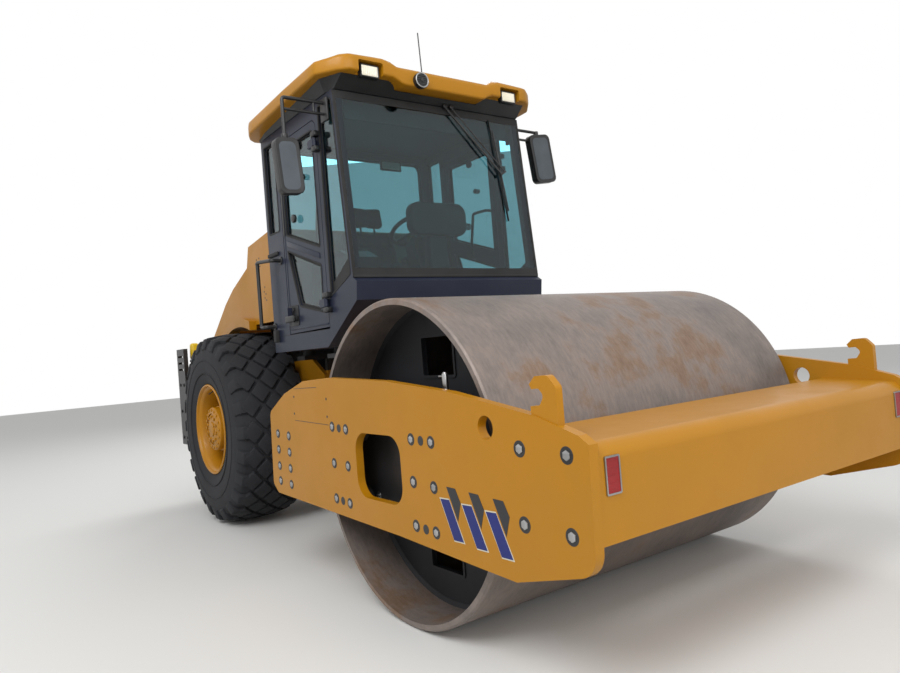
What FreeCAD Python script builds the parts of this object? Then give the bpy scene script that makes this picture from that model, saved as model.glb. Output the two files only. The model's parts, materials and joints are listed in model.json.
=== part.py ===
# Single drum road roller, articulated, with a closed cab.
# Millimetres. X runs forward, Y to the machine's left, Z up.
# The origin is on the ground under the middle of the bounding box.
import FreeCAD, Part
import math
import os

V = FreeCAD.Vector
os.makedirs("parts", exist_ok=True)

# Driving dimensions
WHEELBASE = 3020.0
FRONT_REACH = 1300.0       # drum axis to the side plates' front end
REAR_REACH = 1550.0        # wheel axis to the counterweight's back
DRUM_R = 762.0
DRUM_HALF = 1065.0         # half the drum's width
SHELL = 30.0               # drum shell thickness
DRUM_SIDE = 45.0           # drum end to side plate
PLATE_T = 40.0
BEAM_GAP = 118.0           # drum to front beam
CROSS_GAP = 238.0          # drum to rear crossbeam
CROSS_HALF = 180.0         # half the crossbeam's height
TYRE_R = 770.0             # as loaded; 800 free
TYRE_W = 587.0
TREAD = 30.0               # height of the tread blocks
TRACK_HALF = 720.0
RIM_R = 330.0              # bead seat
FLANGE_R = 365.0
SPINDLE_R = 60.0
ARCH_GAP = 50.0            # tyre to wheel arch
PIVOT_Z = 740.0            # roll axis of the centre joint
CAB_HALF = 745.0
WALL = 45.0                # cab wall and door thickness
GLASS = 8.0
FLOOR_Z = 1455.0
CAB_TOP = 2900.0
HOOD_HALF = 640.0
HOOD_T = 30.0
RAIL_IN = 350.0            # inner face of the chassis rails
RAIL_T = 30.0
RAIL_TOP = 1270.0
GAP = 5.0                  # clearance of moving pieces
FIT = 0.5                  # radial clearance of pins in bores
SOFT = 0.3                 # gap between soft or curved pieces that rest together

# Places worked out from them
DRUM_X = (WHEELBASE + REAR_REACH - FRONT_REACH) / 2
WHEEL_X = DRUM_X - WHEELBASE
PIVOT_X = (DRUM_X + WHEEL_X) / 2
BACK_X = WHEEL_X - REAR_REACH
CAB_X = WHEEL_X + 890      # outer face of the cab's rear wall
PLATE_IN = DRUM_HALF + DRUM_SIDE
PLATE_OUT = PLATE_IN + PLATE_T
ARCH_R = TYRE_R + ARCH_GAP

nodes = {}


def arc_corner(a, b, c, r):
    # tangent points and middle of the round at corner b
    u = (a - b).normalize()
    w = (c - b).normalize()
    half = u.getAngle(w) / 2.0
    t = r / math.tan(half)
    bis = (u + w).normalize()
    mid = b + bis * (r / math.sin(half) - r)
    return b + u * t, mid, b + w * t


def outline(points, plane):
    # closed wire; each row is (u, v) or (u, v, corner radius)
    place = {"xz": lambda u, v: V(u, 0, v), "xy": lambda u, v: V(u, v, 0),
             "yz": lambda u, v: V(0, u, v)}[plane]
    p = [place(q[0], q[1]) for q in points]
    r = [q[2] if len(q) > 2 else 0 for q in points]
    n = len(p)
    edges = []
    start = None
    last = None
    for i in range(n):
        if r[i] > 0:
            t0, mid, t1 = arc_corner(p[i - 1], p[i], p[(i + 1) % n], r[i])
        else:
            t0, mid, t1 = p[i], None, p[i]
        if last is not None and (t0 - last).Length > 0.01:
            edges.append(Part.makeLine(last, t0))
        if mid is not None:
            edges.append(Part.Arc(t0, mid, t1).toShape())
        if start is None:
            start = t0
        last = t1
    if (start - last).Length > 0.01:
        edges.append(Part.makeLine(last, start))
    return Part.Wire(edges)


def prism(points, plane, lo, hi):
    # outline swept along the axis across its plane, from lo to hi
    axis = {"xz": V(0, 1, 0), "xy": V(0, 0, 1), "yz": V(1, 0, 0)}[plane]
    face = Part.Face(outline(points, plane))
    face.translate(axis * lo)
    return face.extrude(axis * (hi - lo))


def box(x0, x1, y0, y1, z0, z1):
    return Part.makeBox(x1 - x0, y1 - y0, z1 - z0, V(x0, y0, z0))


def rod(p, q, r):
    p, q = V(*p), V(*q)
    return Part.makeCylinder(r, (q - p).Length, p, q - p)


def cross_rod(x, z, y0, y1, r):
    # round bar across the machine
    return rod((x, y0, z), (x, y1, z), r)


def ring(p, q, r_out, r_in):
    return rod(p, q, r_out).cut(rod(p, q, r_in))


def tube(points, r):
    # round bar along a polyline with mitred corners
    pts = [V(*p) for p in points]
    path = Part.makePolygon(pts)
    prof = Part.Wire([Part.makeCircle(r, pts[0], pts[1] - pts[0])])
    return path.makePipeShell([prof], True, False, 1)


def join(*shapes):
    out = shapes[0]
    if len(shapes) > 1:
        out = out.multiFuse(list(shapes[1:]))
    return out.removeSplitter()


def group(*shapes):
    return Part.makeCompound(list(shapes))


def flip(shape):
    # the same piece on the machine's other side
    return shape.mirror(V(0, 0, 0), V(0, 1, 0))


def at(x, points):
    # outline whose first column is measured from x
    return [(q[0] + x,) + tuple(q[1:]) for q in points]


def pair(name, right):
    nodes[name + "_right"] = right
    nodes[name + "_left"] = flip(right)


def both(name, right):
    nodes[name] = group(right, flip(right))


def turned(profile):
    # profile rows are (y, radius), turned about the Y axis
    face = Part.Face(Part.makePolygon([V(0, q[0], q[1]) for q in profile + profile[:1]]))
    return face.revolve(V(0, 0, 0), V(0, 1, 0), 360)


def faceted(profile, sides):
    # the same with flat sides, each at its row's radius from the axis
    half = math.pi / sides
    faces = []
    for k in range(sides):
        for a, b in zip(profile, profile[1:] + profile[:1]):
            corners = [(a, -half), (b, -half), (b, half), (a, half)]
            pts = []
            for row, turn in corners:
                t = 2 * half * k + turn
                r = row[1] / math.cos(half)
                pts.append(V(r * math.sin(t), row[0], r * math.cos(t)))
            faces.append(Part.Face(Part.makePolygon(pts + pts[:1])))
    solid = Part.Solid(Part.Shell(faces))
    if solid.Volume < 0:
        solid.reverse()
    return solid


# Front frame: side plates with a lifting eye and a hook welded on top
PLATE_END = PIVOT_X + 185 - DRUM_X
plate_outline = at(DRUM_X, [
    (PLATE_END, 537, 40), (PLATE_END + 25, 972, 50), (-1067, 1083), (-798, 1154), (-491, 1168), (82, 1146),
    (572, 1098), (1067, 1017), (FRONT_REACH - 43, 961), (FRONT_REACH, 934),
    (FRONT_REACH - 11, 519, 90), (900, 420), (688, 429), (117, 456), (PLATE_END + 70, 490)])
window = at(DRUM_X, [(-240, 590, 90), (-240, 900, 90), (170, 900, 90), (170, 590, 90)])
LIFT_X = DRUM_X + 787
LIFT_Z = 966.0
LIFT_R = 45.0
side_plate = prism(plate_outline, "xz", -PLATE_OUT, -PLATE_IN)
side_plate = side_plate.cut(prism(window, "xz", -PLATE_OUT - 1, -PLATE_IN + 1))
side_plate = side_plate.cut(cross_rod(LIFT_X, LIFT_Z, -PLATE_OUT - 1, -PLATE_IN + 1, LIFT_R))
hook_outline = at(DRUM_X, [
    (1040, 980), (1040, 1050), (1085, 1052, 15), (1108, 1086, 18), (1085, 1110, 12),
    (1050, 1108), (1040, 1125), (1070, 1152), (1130, 1155, 25), (1168, 1115, 20), (1168, 960)])
hook = prism(hook_outline, "xz", -PLATE_OUT + 5, -PLATE_IN - 5)
pair("frame_plate", join(side_plate, hook))

# Box beam across the front, scraper under it, and crossbeam from the roll bearing to the drum's clearance
BEAM_BACK = DRUM_X + DRUM_R + BEAM_GAP
BEAM_FACE = DRUM_X + FRONT_REACH - 10
beam = [(BEAM_BACK, 560), (BEAM_BACK, 950, 20), (BEAM_FACE, 930, 60), (BEAM_FACE, 604),
        (BEAM_BACK + 60, 560)]
nodes["front_beam"] = prism(beam, "xz", -PLATE_IN, PLATE_IN)
CROSS_BACK = PIVOT_X + 210
CROSS_FRONT = DRUM_X - DRUM_R - CROSS_GAP
nodes["rear_crossbeam"] = box(CROSS_BACK, CROSS_FRONT, -PLATE_IN, PLATE_IN,
                              PIVOT_Z - CROSS_HALF, PIVOT_Z + CROSS_HALF)
BEARING_BACK = PIVOT_X + 155
LINK_FRONT = BEARING_BACK - GAP
TRUNNION_R = 80.0
nodes["roll_bearing"] = join(rod((BEARING_BACK, 0, PIVOT_Z), (CROSS_BACK, 0, PIVOT_Z), 165),
                             rod((PIVOT_X + 65, 0, PIVOT_Z), (BEARING_BACK, 0, PIVOT_Z), TRUNNION_R))
SCRAPER_TABS = [-900, -330, 40, 560]
blade = at(BEAM_BACK, [(-80, 470), (-80, 480), (5, 560), (55, 560), (55, 545), (13, 545)])
tabs = [box(BEAM_BACK - 20, BEAM_BACK + 130, y - 45, y + 45, 545, 560) for y in SCRAPER_TABS]
scraper = prism(blade, "xz", -DRUM_HALF + 25, DRUM_HALF - 25)
nodes["scraper_front"] = join(scraper, *tabs)
reflector = box(BEAM_FACE, BEAM_FACE + 4, -PLATE_IN + 34, -PLATE_IN + 99, 763, 883)
both("reflectors", reflector)

# Carriers that hold the drum inside each side plate, on four rubber buffers
CARRIER_OUT = PLATE_IN - 100
CARRIER_T = 25.0
CARRIER_Z = DRUM_R - 37
WEB_OUT = DRUM_HALF - 260
WEB_T = 25.0
BOSS = 35.0
SPIGOT_R = 80.0
HUB_END = WEB_OUT + BOSS + GAP
carrier = prism(at(DRUM_X, [(-480, CARRIER_Z - 250, 80), (-480, CARRIER_Z + 250, 80),
                            (430, CARRIER_Z + 250, 80), (430, CARRIER_Z - 250, 80)]),
                "xz", -CARRIER_OUT, -CARRIER_OUT + CARRIER_T)
hub = cross_rod(DRUM_X, DRUM_R, -CARRIER_OUT + CARRIER_T, -HUB_END, 190)
spigot = cross_rod(DRUM_X, DRUM_R, -HUB_END, -WEB_OUT + GAP, SPIGOT_R)
both("drum_carriers", join(carrier, hub, spigot))
pads = []
for x in (-400, 345):
    for z in (-184, 164):
        pads.append(cross_rod(DRUM_X + x, CARRIER_Z + z, -PLATE_IN, -CARRIER_OUT, 60))
pads = group(*pads)
both("rubber_buffers", pads)

# Vibrating drum: shell, and two webs with rounded windows that close it inside
shell = [(-DRUM_HALF, DRUM_R - SHELL), (-DRUM_HALF, DRUM_R - 8), (-DRUM_HALF + 8, DRUM_R),
         (DRUM_HALF - 8, DRUM_R), (DRUM_HALF, DRUM_R - 8), (DRUM_HALF, DRUM_R - SHELL)]
drum = turned(shell)
drum.translate(V(DRUM_X, 0, DRUM_R))
nodes["drum_shell"] = drum
web = join(cross_rod(DRUM_X, DRUM_R, -WEB_OUT, -WEB_OUT + WEB_T, DRUM_R - SHELL),
           cross_rod(DRUM_X, DRUM_R, -WEB_OUT - BOSS, -WEB_OUT, 150))
web = web.cut(cross_rod(DRUM_X, DRUM_R, -WEB_OUT - BOSS - 1, -WEB_OUT + 2 * GAP, SPIGOT_R + FIT))
port = box(DRUM_X - 105, DRUM_X + 155, -WEB_OUT - 1, -WEB_OUT + WEB_T + 1,
           DRUM_R + 0.5 * DRUM_R, DRUM_R + 0.75 * DRUM_R)
for k in range(4):
    web = web.cut(port.copy().rotate(V(DRUM_X, 0, DRUM_R), V(0, 1, 0), 90 * k))
both("drum_webs", web)

# Centre link: steers about the upright pin, and rolls in the front bearing
PIN_R = 45.0
FORK_LO = PIVOT_Z - 165
FORK_HI = PIVOT_Z + 165
FORK_T = 40.0
ARM_TOP = 760.0
STEER_Y = 190.0
STEER_Z = 815.0
link = join(box(PIVOT_X - 70, PIVOT_X + 110, -115, 115, FORK_LO + 10, FORK_HI - 10),
            rod((PIVOT_X + 110, 0, PIVOT_Z), (LINK_FRONT, 0, PIVOT_Z), 150),
            box(PIVOT_X - 45, PIVOT_X + 45, -STEER_Y - 45, STEER_Y + 45, ARM_TOP - 60, ARM_TOP))
link = link.cut(rod((PIVOT_X, 0, FORK_LO), (PIVOT_X, 0, FORK_HI), PIN_R + FIT))
link = link.cut(rod((PIVOT_X + 60, 0, PIVOT_Z), (LINK_FRONT + 1, 0, PIVOT_Z), TRUNNION_R + FIT))
nodes["centre_link"] = link

# Rear frame: fork plates, pivot pin, bulkhead with steering lugs, and side rails
BULK_X = WHEEL_X + 870
BULK_T = 40.0
fork_plan = [(BULK_X + BULK_T, -320), (PIVOT_X - 130, -190), (PIVOT_X + 95, -95, 90),
             (PIVOT_X + 95, 95, 90), (PIVOT_X - 130, 190), (BULK_X + BULK_T, 320)]
nodes["fork_upper"] = prism(fork_plan, "xy", FORK_HI, FORK_HI + FORK_T)
nodes["fork_lower"] = prism(fork_plan, "xy", FORK_LO - FORK_T, FORK_LO)
nodes["pivot_pin"] = rod((PIVOT_X, 0, FORK_LO), (PIVOT_X, 0, FORK_HI), PIN_R)
LUG_X = BULK_X + BULK_T + 40
LUG_Y = 215.0
EYE_HALF = 27.0
STEER_PIN = 20.0
bulk_parts = [box(BULK_X, BULK_X + BULK_T, -RAIL_IN, RAIL_IN, FORK_LO - 55, RAIL_TOP - 90)]
for s in (-1, 1):
    bulk_parts.append(box(BULK_X + BULK_T, LUG_X + 50, s * LUG_Y - 40, s * LUG_Y + 40,
                          ARM_TOP - 35, ARM_TOP + GAP))
    bulk_parts.append(rod((LUG_X, s * LUG_Y, ARM_TOP + GAP), (LUG_X, s * LUG_Y, STEER_Z + 30), STEER_PIN))
nodes["chassis_bulkhead"] = join(*bulk_parts)
RAIL_BACK = BACK_X + 240
RAIL_LOW = TYRE_R - 210    # under the axle
rail = [(RAIL_BACK, RAIL_LOW + 60), (RAIL_BACK, RAIL_TOP - 90), (WHEEL_X + 485, RAIL_TOP),
        (BULK_X - 160, RAIL_TOP), (BULK_X + BULK_T, RAIL_TOP - 120), (BULK_X + BULK_T, FORK_LO - 55),
        (WHEEL_X + 485, RAIL_LOW)]
rail_shape = prism(rail, "xz", -RAIL_IN - RAIL_T, -RAIL_IN)
AXLE_R = 130.0
rail_shape = rail_shape.cut(cross_rod(WHEEL_X, TYRE_R, -RAIL_IN - RAIL_T - 1, -RAIL_IN + 1, AXLE_R + FIT))

# Rear axle with planetary ends, hung in the rails
DISH = TRACK_HALF + 30
HUB_CAP = TRACK_HALF + 150
AXLE_PARTS = [(RAIL_IN + RAIL_T + 5, AXLE_R), (HUB_CAP - GAP, SPINDLE_R)]
axle = [cross_rod(WHEEL_X, TYRE_R, -y, y, r) for y, r in AXLE_PARTS]
for s in (-1, 1):
    axle.append(cross_rod(WHEEL_X, TYRE_R, s * (RAIL_IN + RAIL_T), s * (DISH - GAP), 200))
axle.append(cross_rod(WHEEL_X, TYRE_R, -150, 150, 220))
nodes["rear_axle"] = join(*axle)

# Wheels: dished rim with a planetary hub, and the tyre with staggered diamond blocks
RIM_HALF = TYRE_W / 2 - 18.5
OUT = TRACK_HALF + RIM_HALF
IN = TRACK_HALF - RIM_HALF
INNER_R = RIM_R - 25
rim = turned([(-OUT, INNER_R), (-OUT, FLANGE_R), (-OUT + 20, RIM_R), (-IN - 20, RIM_R), (-IN, FLANGE_R),
              (-IN, INNER_R), (-DISH, INNER_R), (-DISH, SPINDLE_R + FIT), (-HUB_CAP, SPINDLE_R + FIT),
              (-HUB_CAP, 0), (-HUB_CAP - 25, 0), (-HUB_CAP - 25, 120), (-HUB_CAP + 10, 150),
              (-DISH - 55, 150), (-DISH - 55, 190), (-DISH - 25, 190), (-DISH - 25, INNER_R)])
rim.translate(V(WHEEL_X, 0, TYRE_R))
pair("wheel_rim", rim)
PITCHES = 24
BASE_R = TYRE_R - TREAD
SIDE = TYRE_W / 2
half_tyre = [(SIDE - 45, RIM_R + SOFT), (SIDE, RIM_R + 210), (SIDE - 28, BASE_R - 45),
             (SIDE - 143, BASE_R - 2)]
tyre_profile = [(-q[0], q[1]) for q in half_tyre] + half_tyre[::-1]
tyre = faceted(tyre_profile, PITCHES)
# rows of blocks: (middle across the tread, half width, half pitch offset)
BLOCK_ROWS = [(0, 73, 0), (92, 73, 1), (-92, 73, 1), (SIDE - 108, 73, 0), (108 - SIDE, 73, 0)]
BLOCK_HALF = 84.0
blocks = []
for y, w, odd in BLOCK_ROWS:
    edge = abs(y) > SIDE - 143
    base = BASE_R - 40 if edge else BASE_R - 12
    top = TYRE_R - 26 if edge else TYRE_R - 5.5
    low, high = [Part.makePolygon([V(dx * k, y + dy * k, r) for dx, dy in
                                   ((BLOCK_HALF, 0), (0, w), (-BLOCK_HALF, 0), (0, -w), (BLOCK_HALF, 0))])
                 for k, r in ((1.0, base), (0.9, top))]
    block = Part.makeLoft([low, high], True, True)
    for k in range(PITCHES):
        blocks.append(block.copy().rotate(V(0, 0, 0), V(0, 1, 0), (2 * k + odd) * 180.0 / PITCHES))
tyre = tyre.multiFuse(blocks)
tyre.translate(V(WHEEL_X, -TRACK_HALF, TYRE_R))
pair("tyre", tyre)

# Steering cylinders, one each side; the rod carries its own pin above the link's arm
B = V(LUG_X, LUG_Y, STEER_Z)
E = V(PIVOT_X, STEER_Y, STEER_Z)
run = (E - B).normalize()
reach = (E - B).Length
BARREL_END = reach - 160
PISTON = BARREL_END - 46   # rod's eye to piston
BORE_R = 36.0
ROD_R = 22.0


def along(start, d):
    p = start + run * d
    return (p.x, p.y, p.z)


def upright(c, r, z0, z1):
    return rod((c.x, c.y, z0), (c.x, c.y, z1), r)


barrel = join(upright(B, 38, STEER_Z - EYE_HALF, STEER_Z + EYE_HALF),
              rod(along(B, 25), along(B, BARREL_END), 42))
barrel = barrel.cut(upright(B, STEER_PIN + FIT, STEER_Z - 50, STEER_Z + 50))
barrel = barrel.cut(rod(along(B, 60), along(B, BARREL_END - 15), BORE_R))
barrel = barrel.cut(rod(along(B, BARREL_END - 20), along(B, BARREL_END + 1), ROD_R + FIT))
cylinder_rod = join(upright(E, 38, STEER_Z - EYE_HALF, STEER_Z + EYE_HALF),
                    upright(E, STEER_PIN, ARM_TOP + GAP, STEER_Z + 30),
                    rod(along(E, -PISTON), along(E, -20), ROD_R),
                    rod(along(E, -PISTON - 30), along(E, -PISTON), BORE_R - 1))
nodes["steer_barrel_left"] = barrel
nodes["steer_barrel_right"] = flip(barrel)
nodes["steer_rod_left"] = cylinder_rod
nodes["steer_rod_right"] = flip(cylinder_rod)

# Engine as one block, on bearers between the rails
ENGINE_Z = TYRE_R + 245
nodes["engine"] = join(box(WHEEL_X - 765, WHEEL_X + 385, -300, 300, ENGINE_Z, ENGINE_Z + 335),
                       box(WHEEL_X - 365, WHEEL_X + 385, -270, 270, ENGINE_Z + 335, ENGINE_Z + 655),
                       box(WHEEL_X - 665, WHEEL_X - 565, -RAIL_IN, RAIL_IN, ENGINE_Z + 15, ENGINE_Z + 85),
                       box(WHEEL_X + 235, WHEEL_X + 335, -RAIL_IN, RAIL_IN, ENGINE_Z + 15, ENGINE_Z + 85))

# Counterweight behind the rails, with a slatted guard plate each side
GUARD_Y = 760.0
weight_side = [(BACK_X, 620, 60), (BACK_X, 1140, 40), (RAIL_BACK, 1140), (RAIL_BACK, 560), (BACK_X + 80, 560)]
nodes["counterweight"] = prism(weight_side, "xz", -GUARD_Y, GUARD_Y)
guard = box(BACK_X, RAIL_BACK, -GUARD_Y - 40, -GUARD_Y, 530, 1475)
for z in (1262, 1325, 1390):
    guard = guard.cut(box(BACK_X + 40, RAIL_BACK - 40, -GUARD_Y - 41, -GUARD_Y + 1, z, z + 20))
pair("rear_guard", guard)
LAMP_X = BACK_X + 165
lamp = prism([(-705, 1340, 15), (-705, 1530, 30), (-610, 1530, 30), (-610, 1340, 15)], "yz",
             LAMP_X - 80, LAMP_X)
foot = box(LAMP_X - 60, LAMP_X - 20, -690, -630, 1140, 1340)
both("tail_lamps", join(lamp, foot))

# Hood, hinged at its rear end: sloping shell, and side panels with wheel arches
STRIP_Z = TYRE_R + ARCH_R
HOOD_LOW = STRIP_Z - 340
HOOD_TOP = STRIP_Z + 710
hood_side = at(WHEEL_X, [
    (770, STRIP_Z), (770, HOOD_TOP, 40), (200, HOOD_TOP - 65), (140, HOOD_TOP - 230), (-240, HOOD_TOP - 370),
    (-450, HOOD_TOP - 480), (-980, HOOD_TOP - 840), (-1290, HOOD_TOP - 930, 40), (-1290, HOOD_LOW),
    (-680, HOOD_LOW), (0, STRIP_Z)])
hood_inner = at(WHEEL_X, [
    (770 - HOOD_T, HOOD_LOW - 250), (770 - HOOD_T, HOOD_TOP - 30), (220, HOOD_TOP - 93),
    (160, HOOD_TOP - 260), (-225, HOOD_TOP - 400), (-435, HOOD_TOP - 510), (-970, HOOD_TOP - 870),
    (-1290 + HOOD_T, HOOD_TOP - 958), (-1290 + HOOD_T, HOOD_LOW - 250)])
HOOD_IN = HOOD_HALF - HOOD_T
shell_top = prism(hood_side, "xz", -HOOD_IN, HOOD_IN).cut(prism(hood_inner, "xz", -HOOD_IN - 1, HOOD_IN + 1))
HINGE_HX = WHEEL_X - 1215
HINGE_HZ = HOOD_LOW - 25
HOOD_PIN = 10.0
hood_lug = box(HINGE_HX - 18, HINGE_HX + 18, RAIL_IN + RAIL_T + 6, RAIL_IN + RAIL_T + 22,
               HINGE_HZ - 18, HOOD_TOP - 925)
hood_lug = hood_lug.cut(cross_rod(HINGE_HX, HINGE_HZ, RAIL_IN, RAIL_IN + 100, HOOD_PIN + FIT))
hood = join(shell_top, hood_lug, flip(hood_lug))
# radiator slots across the sloping tail: (x from the wheel, z below the top)
SLOT_FIRST = (-505, 517)
SLOT_LAST = (-925, 803)
SLOTS = 8
for k in range(SLOTS):
    t = k / (SLOTS - 1)
    x = WHEEL_X + SLOT_FIRST[0] + t * (SLOT_LAST[0] - SLOT_FIRST[0])
    z = HOOD_TOP - SLOT_FIRST[1] - t * (SLOT_LAST[1] - SLOT_FIRST[1])
    hood = hood.cut(box(x - 12, x + 12, -430, 430, z - 60, z + 60))
nodes["hood"] = hood
arch = cross_rod(WHEEL_X, TYRE_R, -HOOD_HALF - 200, -HOOD_IN + 1, ARCH_R)
LIP = 60.0
LIP_H = 70.0
lip = ring((WHEEL_X, -HOOD_HALF - LIP, TYRE_R), (WHEEL_X, -HOOD_HALF, TYRE_R), ARCH_R + LIP_H, ARCH_R)
lip = lip.common(box(WHEEL_X - 2 * ARCH_R, WHEEL_X + 260, -HOOD_HALF - LIP, -HOOD_HALF,
                     HOOD_LOW, STRIP_Z + LIP_H))
pair("hood_side", join(prism(hood_side, "xz", -HOOD_HALF, -HOOD_IN).cut(arch), lip))
BRACKET_FOOT = min(RAIL_TOP - 95, HINGE_HZ - 50)    # in the rail, whichever way the hinge lies
bracket = join(box(HINGE_HX - 25, HINGE_HX + 25, RAIL_IN + 2, RAIL_IN + RAIL_T - 2,
                   BRACKET_FOOT, HINGE_HZ + 20),
               cross_rod(HINGE_HX, HINGE_HZ, RAIL_IN + 15, RAIL_IN + RAIL_T + 24, HOOD_PIN))
rail_left = join(flip(rail_shape), bracket)
nodes["chassis_rail_left"] = rail_left
nodes["chassis_rail_right"] = flip(rail_left)

# Platform across the rails, and four rubber mounts under the cab
MOUNT_R = 45.0
PAN_LOW = 1340.0           # underside of the cab
PLATFORM_T = 30.0
PLATFORM_X = CAB_X + 40
nodes["cab_platform"] = join(box(BULK_X - 305, PIVOT_X + 60, -RAIL_IN - RAIL_T, RAIL_IN + RAIL_T,
                                 RAIL_TOP, RAIL_TOP + PLATFORM_T),
                             box(BULK_X, BULK_X + BULK_T, -RAIL_IN, RAIL_IN, RAIL_TOP - 90, RAIL_TOP),
                             box(PLATFORM_X, PLATFORM_X + 130, -600, 600, RAIL_TOP, RAIL_TOP + PLATFORM_T),
                             box(PIVOT_X - 80, PIVOT_X + 60, -600, 600, RAIL_TOP, RAIL_TOP + PLATFORM_T))
mounts = []
for x in (PLATFORM_X + 65, PIVOT_X - 10):
    for y in (-530, 530):
        mounts.append(rod((x, y, RAIL_TOP + PLATFORM_T), (x, y, PAN_LOW), MOUNT_R))
nodes["cab_mounts"] = group(*mounts)

# Cab base: floor pan rising to the foot of the windscreen
SILL_Z = 1735.0
base = at(CAB_X, [(0, PAN_LOW), (860, PAN_LOW), (1280, 1600), (1295, 1710), (1258, SILL_Z), (1180, SILL_Z),
                  (1145, 1650), (900, FLOOR_Z), (0, FLOOR_Z)])
nodes["cab_base"] = prism(base, "xz", -CAB_HALF, CAB_HALF)

# Cab side walls: openings for the door, front quarter and rear quarter glass
DOOR_TOP = 2800.0
DOOR_X0 = CAB_X + 280
DOOR_X1 = CAB_X + 908
wall_outline = at(CAB_X, [(0, FLOOR_Z), (0, CAB_TOP), (1160, CAB_TOP), (1254, SILL_Z), (1180, SILL_Z),
                          (1145, 1650), (900, FLOOR_Z)])
door_hole = [(DOOR_X0, FLOOR_Z - 1), (DOOR_X0, DOOR_TOP, 60), (DOOR_X1, DOOR_TOP, 60),
             (DOOR_X1, FLOOR_Z + 7), (DOOR_X1 - 9, FLOOR_Z - 1)]
front_quarter = at(CAB_X, [(955, 1655, 20), (955, CAB_TOP - 45, 20), (1138, CAB_TOP - 45, 20),
                           (1227, 1765, 20)])
rear_quarter = at(CAB_X, [(45, 2200, 30), (45, CAB_TOP - 60, 30), (230, CAB_TOP - 60, 30), (230, 2200, 30)])
wall = prism(wall_outline, "xz", -CAB_HALF, -CAB_HALF + WALL)
for hole in (door_hole, front_quarter, rear_quarter):
    wall = wall.cut(prism(hole, "xz", -CAB_HALF - 1, -CAB_HALF + WALL + 1))
PANE_Y = -CAB_HALF + 18
quarter_panes = [prism(hole, "xz", PANE_Y, PANE_Y + GLASS) for hole in (front_quarter, rear_quarter)]
both("cab_side_glass", group(*quarter_panes))

# Windscreen bonded over its slim frame, and the rear wall with its window
CAB_IN = CAB_HALF - WALL
screen = at(CAB_X, [(1254, SILL_Z), (1160, CAB_TOP), (1160 - WALL, CAB_TOP), (1254 - WALL, SILL_Z)])
POST = 12.0
opening = prism([(-CAB_IN + POST, SILL_Z + 35, 30), (-CAB_IN + POST, CAB_TOP - 45, 30),
                 (CAB_IN - POST, CAB_TOP - 45, 30), (CAB_IN - POST, SILL_Z + 35, 30)], "yz",
                CAB_X + 1000, CAB_X + 1350)
nodes["windscreen_frame"] = prism(screen, "xz", -CAB_IN, CAB_IN).cut(opening)
pane = at(CAB_X, [(1254, SILL_Z), (1160, CAB_TOP), (1160 + GLASS, CAB_TOP), (1254 + GLASS, SILL_Z)])
pane_edge = box(CAB_X, CAB_X + 1350, -CAB_HALF + 6, CAB_HALF - 6, SILL_Z + 10, CAB_TOP - 5)
nodes["windscreen"] = prism(pane, "xz", -CAB_HALF, CAB_HALF).common(pane_edge)
rear_open = prism([(-CAB_IN + 60, 2000, 60), (-CAB_IN + 60, CAB_TOP - 60, 60),
                   (CAB_IN - 60, CAB_TOP - 60, 60), (CAB_IN - 60, 2000, 60)], "yz",
                  CAB_X - 1, CAB_X + WALL + 1)
nodes["cab_wall_rear"] = box(CAB_X, CAB_X + WALL, -CAB_IN, CAB_IN, FLOOR_Z, CAB_TOP).cut(rear_open)
nodes["rear_glass"] = box(CAB_X + 18, CAB_X + 18 + GLASS, -CAB_IN, CAB_IN, 1900, CAB_TOP).common(rear_open)

# Roof cap: an edge band that rises to the front, with a ridge along each side and a lower brow between
ROOF_FRONT = CAB_X + 1330
ROOF_BACK = CAB_X - 70
BACK_LOW = CAB_TOP + 12
FRONT_LOW = CAB_TOP + 70
BAND = 80.0
ROOF_TOP = FRONT_LOW + BAND + 5
# roof plan rows: (x from the cab's rear face, half width)
ROOF_PLAN = [(-70, 800), (80, 870), (1180, 860), (1330, 740)]
LINING_PLAN = [(-10, 745), (150, 752), (1080, 752), (1175, 735)]


def plan_wire(rows, z, inset=0.0):
    rows = [(CAB_X + x + (inset if x < 600 else -inset), w - inset) for x, w in rows]
    pts = [V(x, -w, z) for x, w in rows] + [V(x, w, z) for x, w in rows[::-1]]
    return Part.makePolygon(pts + pts[:1])


slab = prism([(ROOF_BACK, BACK_LOW), (ROOF_FRONT, FRONT_LOW), (ROOF_FRONT, FRONT_LOW + BAND - 15),
              (ROOF_FRONT - 50, ROOF_TOP), (ROOF_BACK + 50, BACK_LOW + BAND + 15),
              (ROOF_BACK, BACK_LOW + BAND - 10)], "xz", -900, 900)
slab = slab.common(Part.Face(plan_wire(ROOF_PLAN, CAB_TOP)).extrude(V(0, 0, 400)))
RIDGE_TOP = ROOF_TOP + 32
ridge_length = prism([(ROOF_FRONT - 1250, ROOF_TOP - 40), (ROOF_FRONT - 1000, ROOF_TOP + 5),
                      (ROOF_FRONT - 130, RIDGE_TOP + 8), (ROOF_FRONT - 15, RIDGE_TOP),
                      (ROOF_FRONT - 3, ROOF_TOP - 40)], "xz", -900, 900)
ridge_section = prism([(-830, ROOF_TOP - 45), (-805, ROOF_TOP - 20), (-760, ROOF_TOP + 12),
                       (-425, RIDGE_TOP + 8), (-372, ROOF_TOP - 10), (-372, ROOF_TOP - 45)],
                      "yz", ROOF_BACK, ROOF_FRONT)
ridge_plan = Part.Face(plan_wire(ROOF_PLAN, CAB_TOP, 8)).extrude(V(0, 0, 400))
ridge = ridge_length.common(ridge_section).common(ridge_plan)
BROW_LOW = FRONT_LOW - 37
brow = prism([(-330, BROW_LOW), (-372, FRONT_LOW + 20), (372, FRONT_LOW + 20), (330, BROW_LOW)], "yz",
             ROOF_FRONT - 150, ROOF_FRONT)
LAMP_Y = 553.0
LAMP_Z = FRONT_LOW + 20
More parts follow.
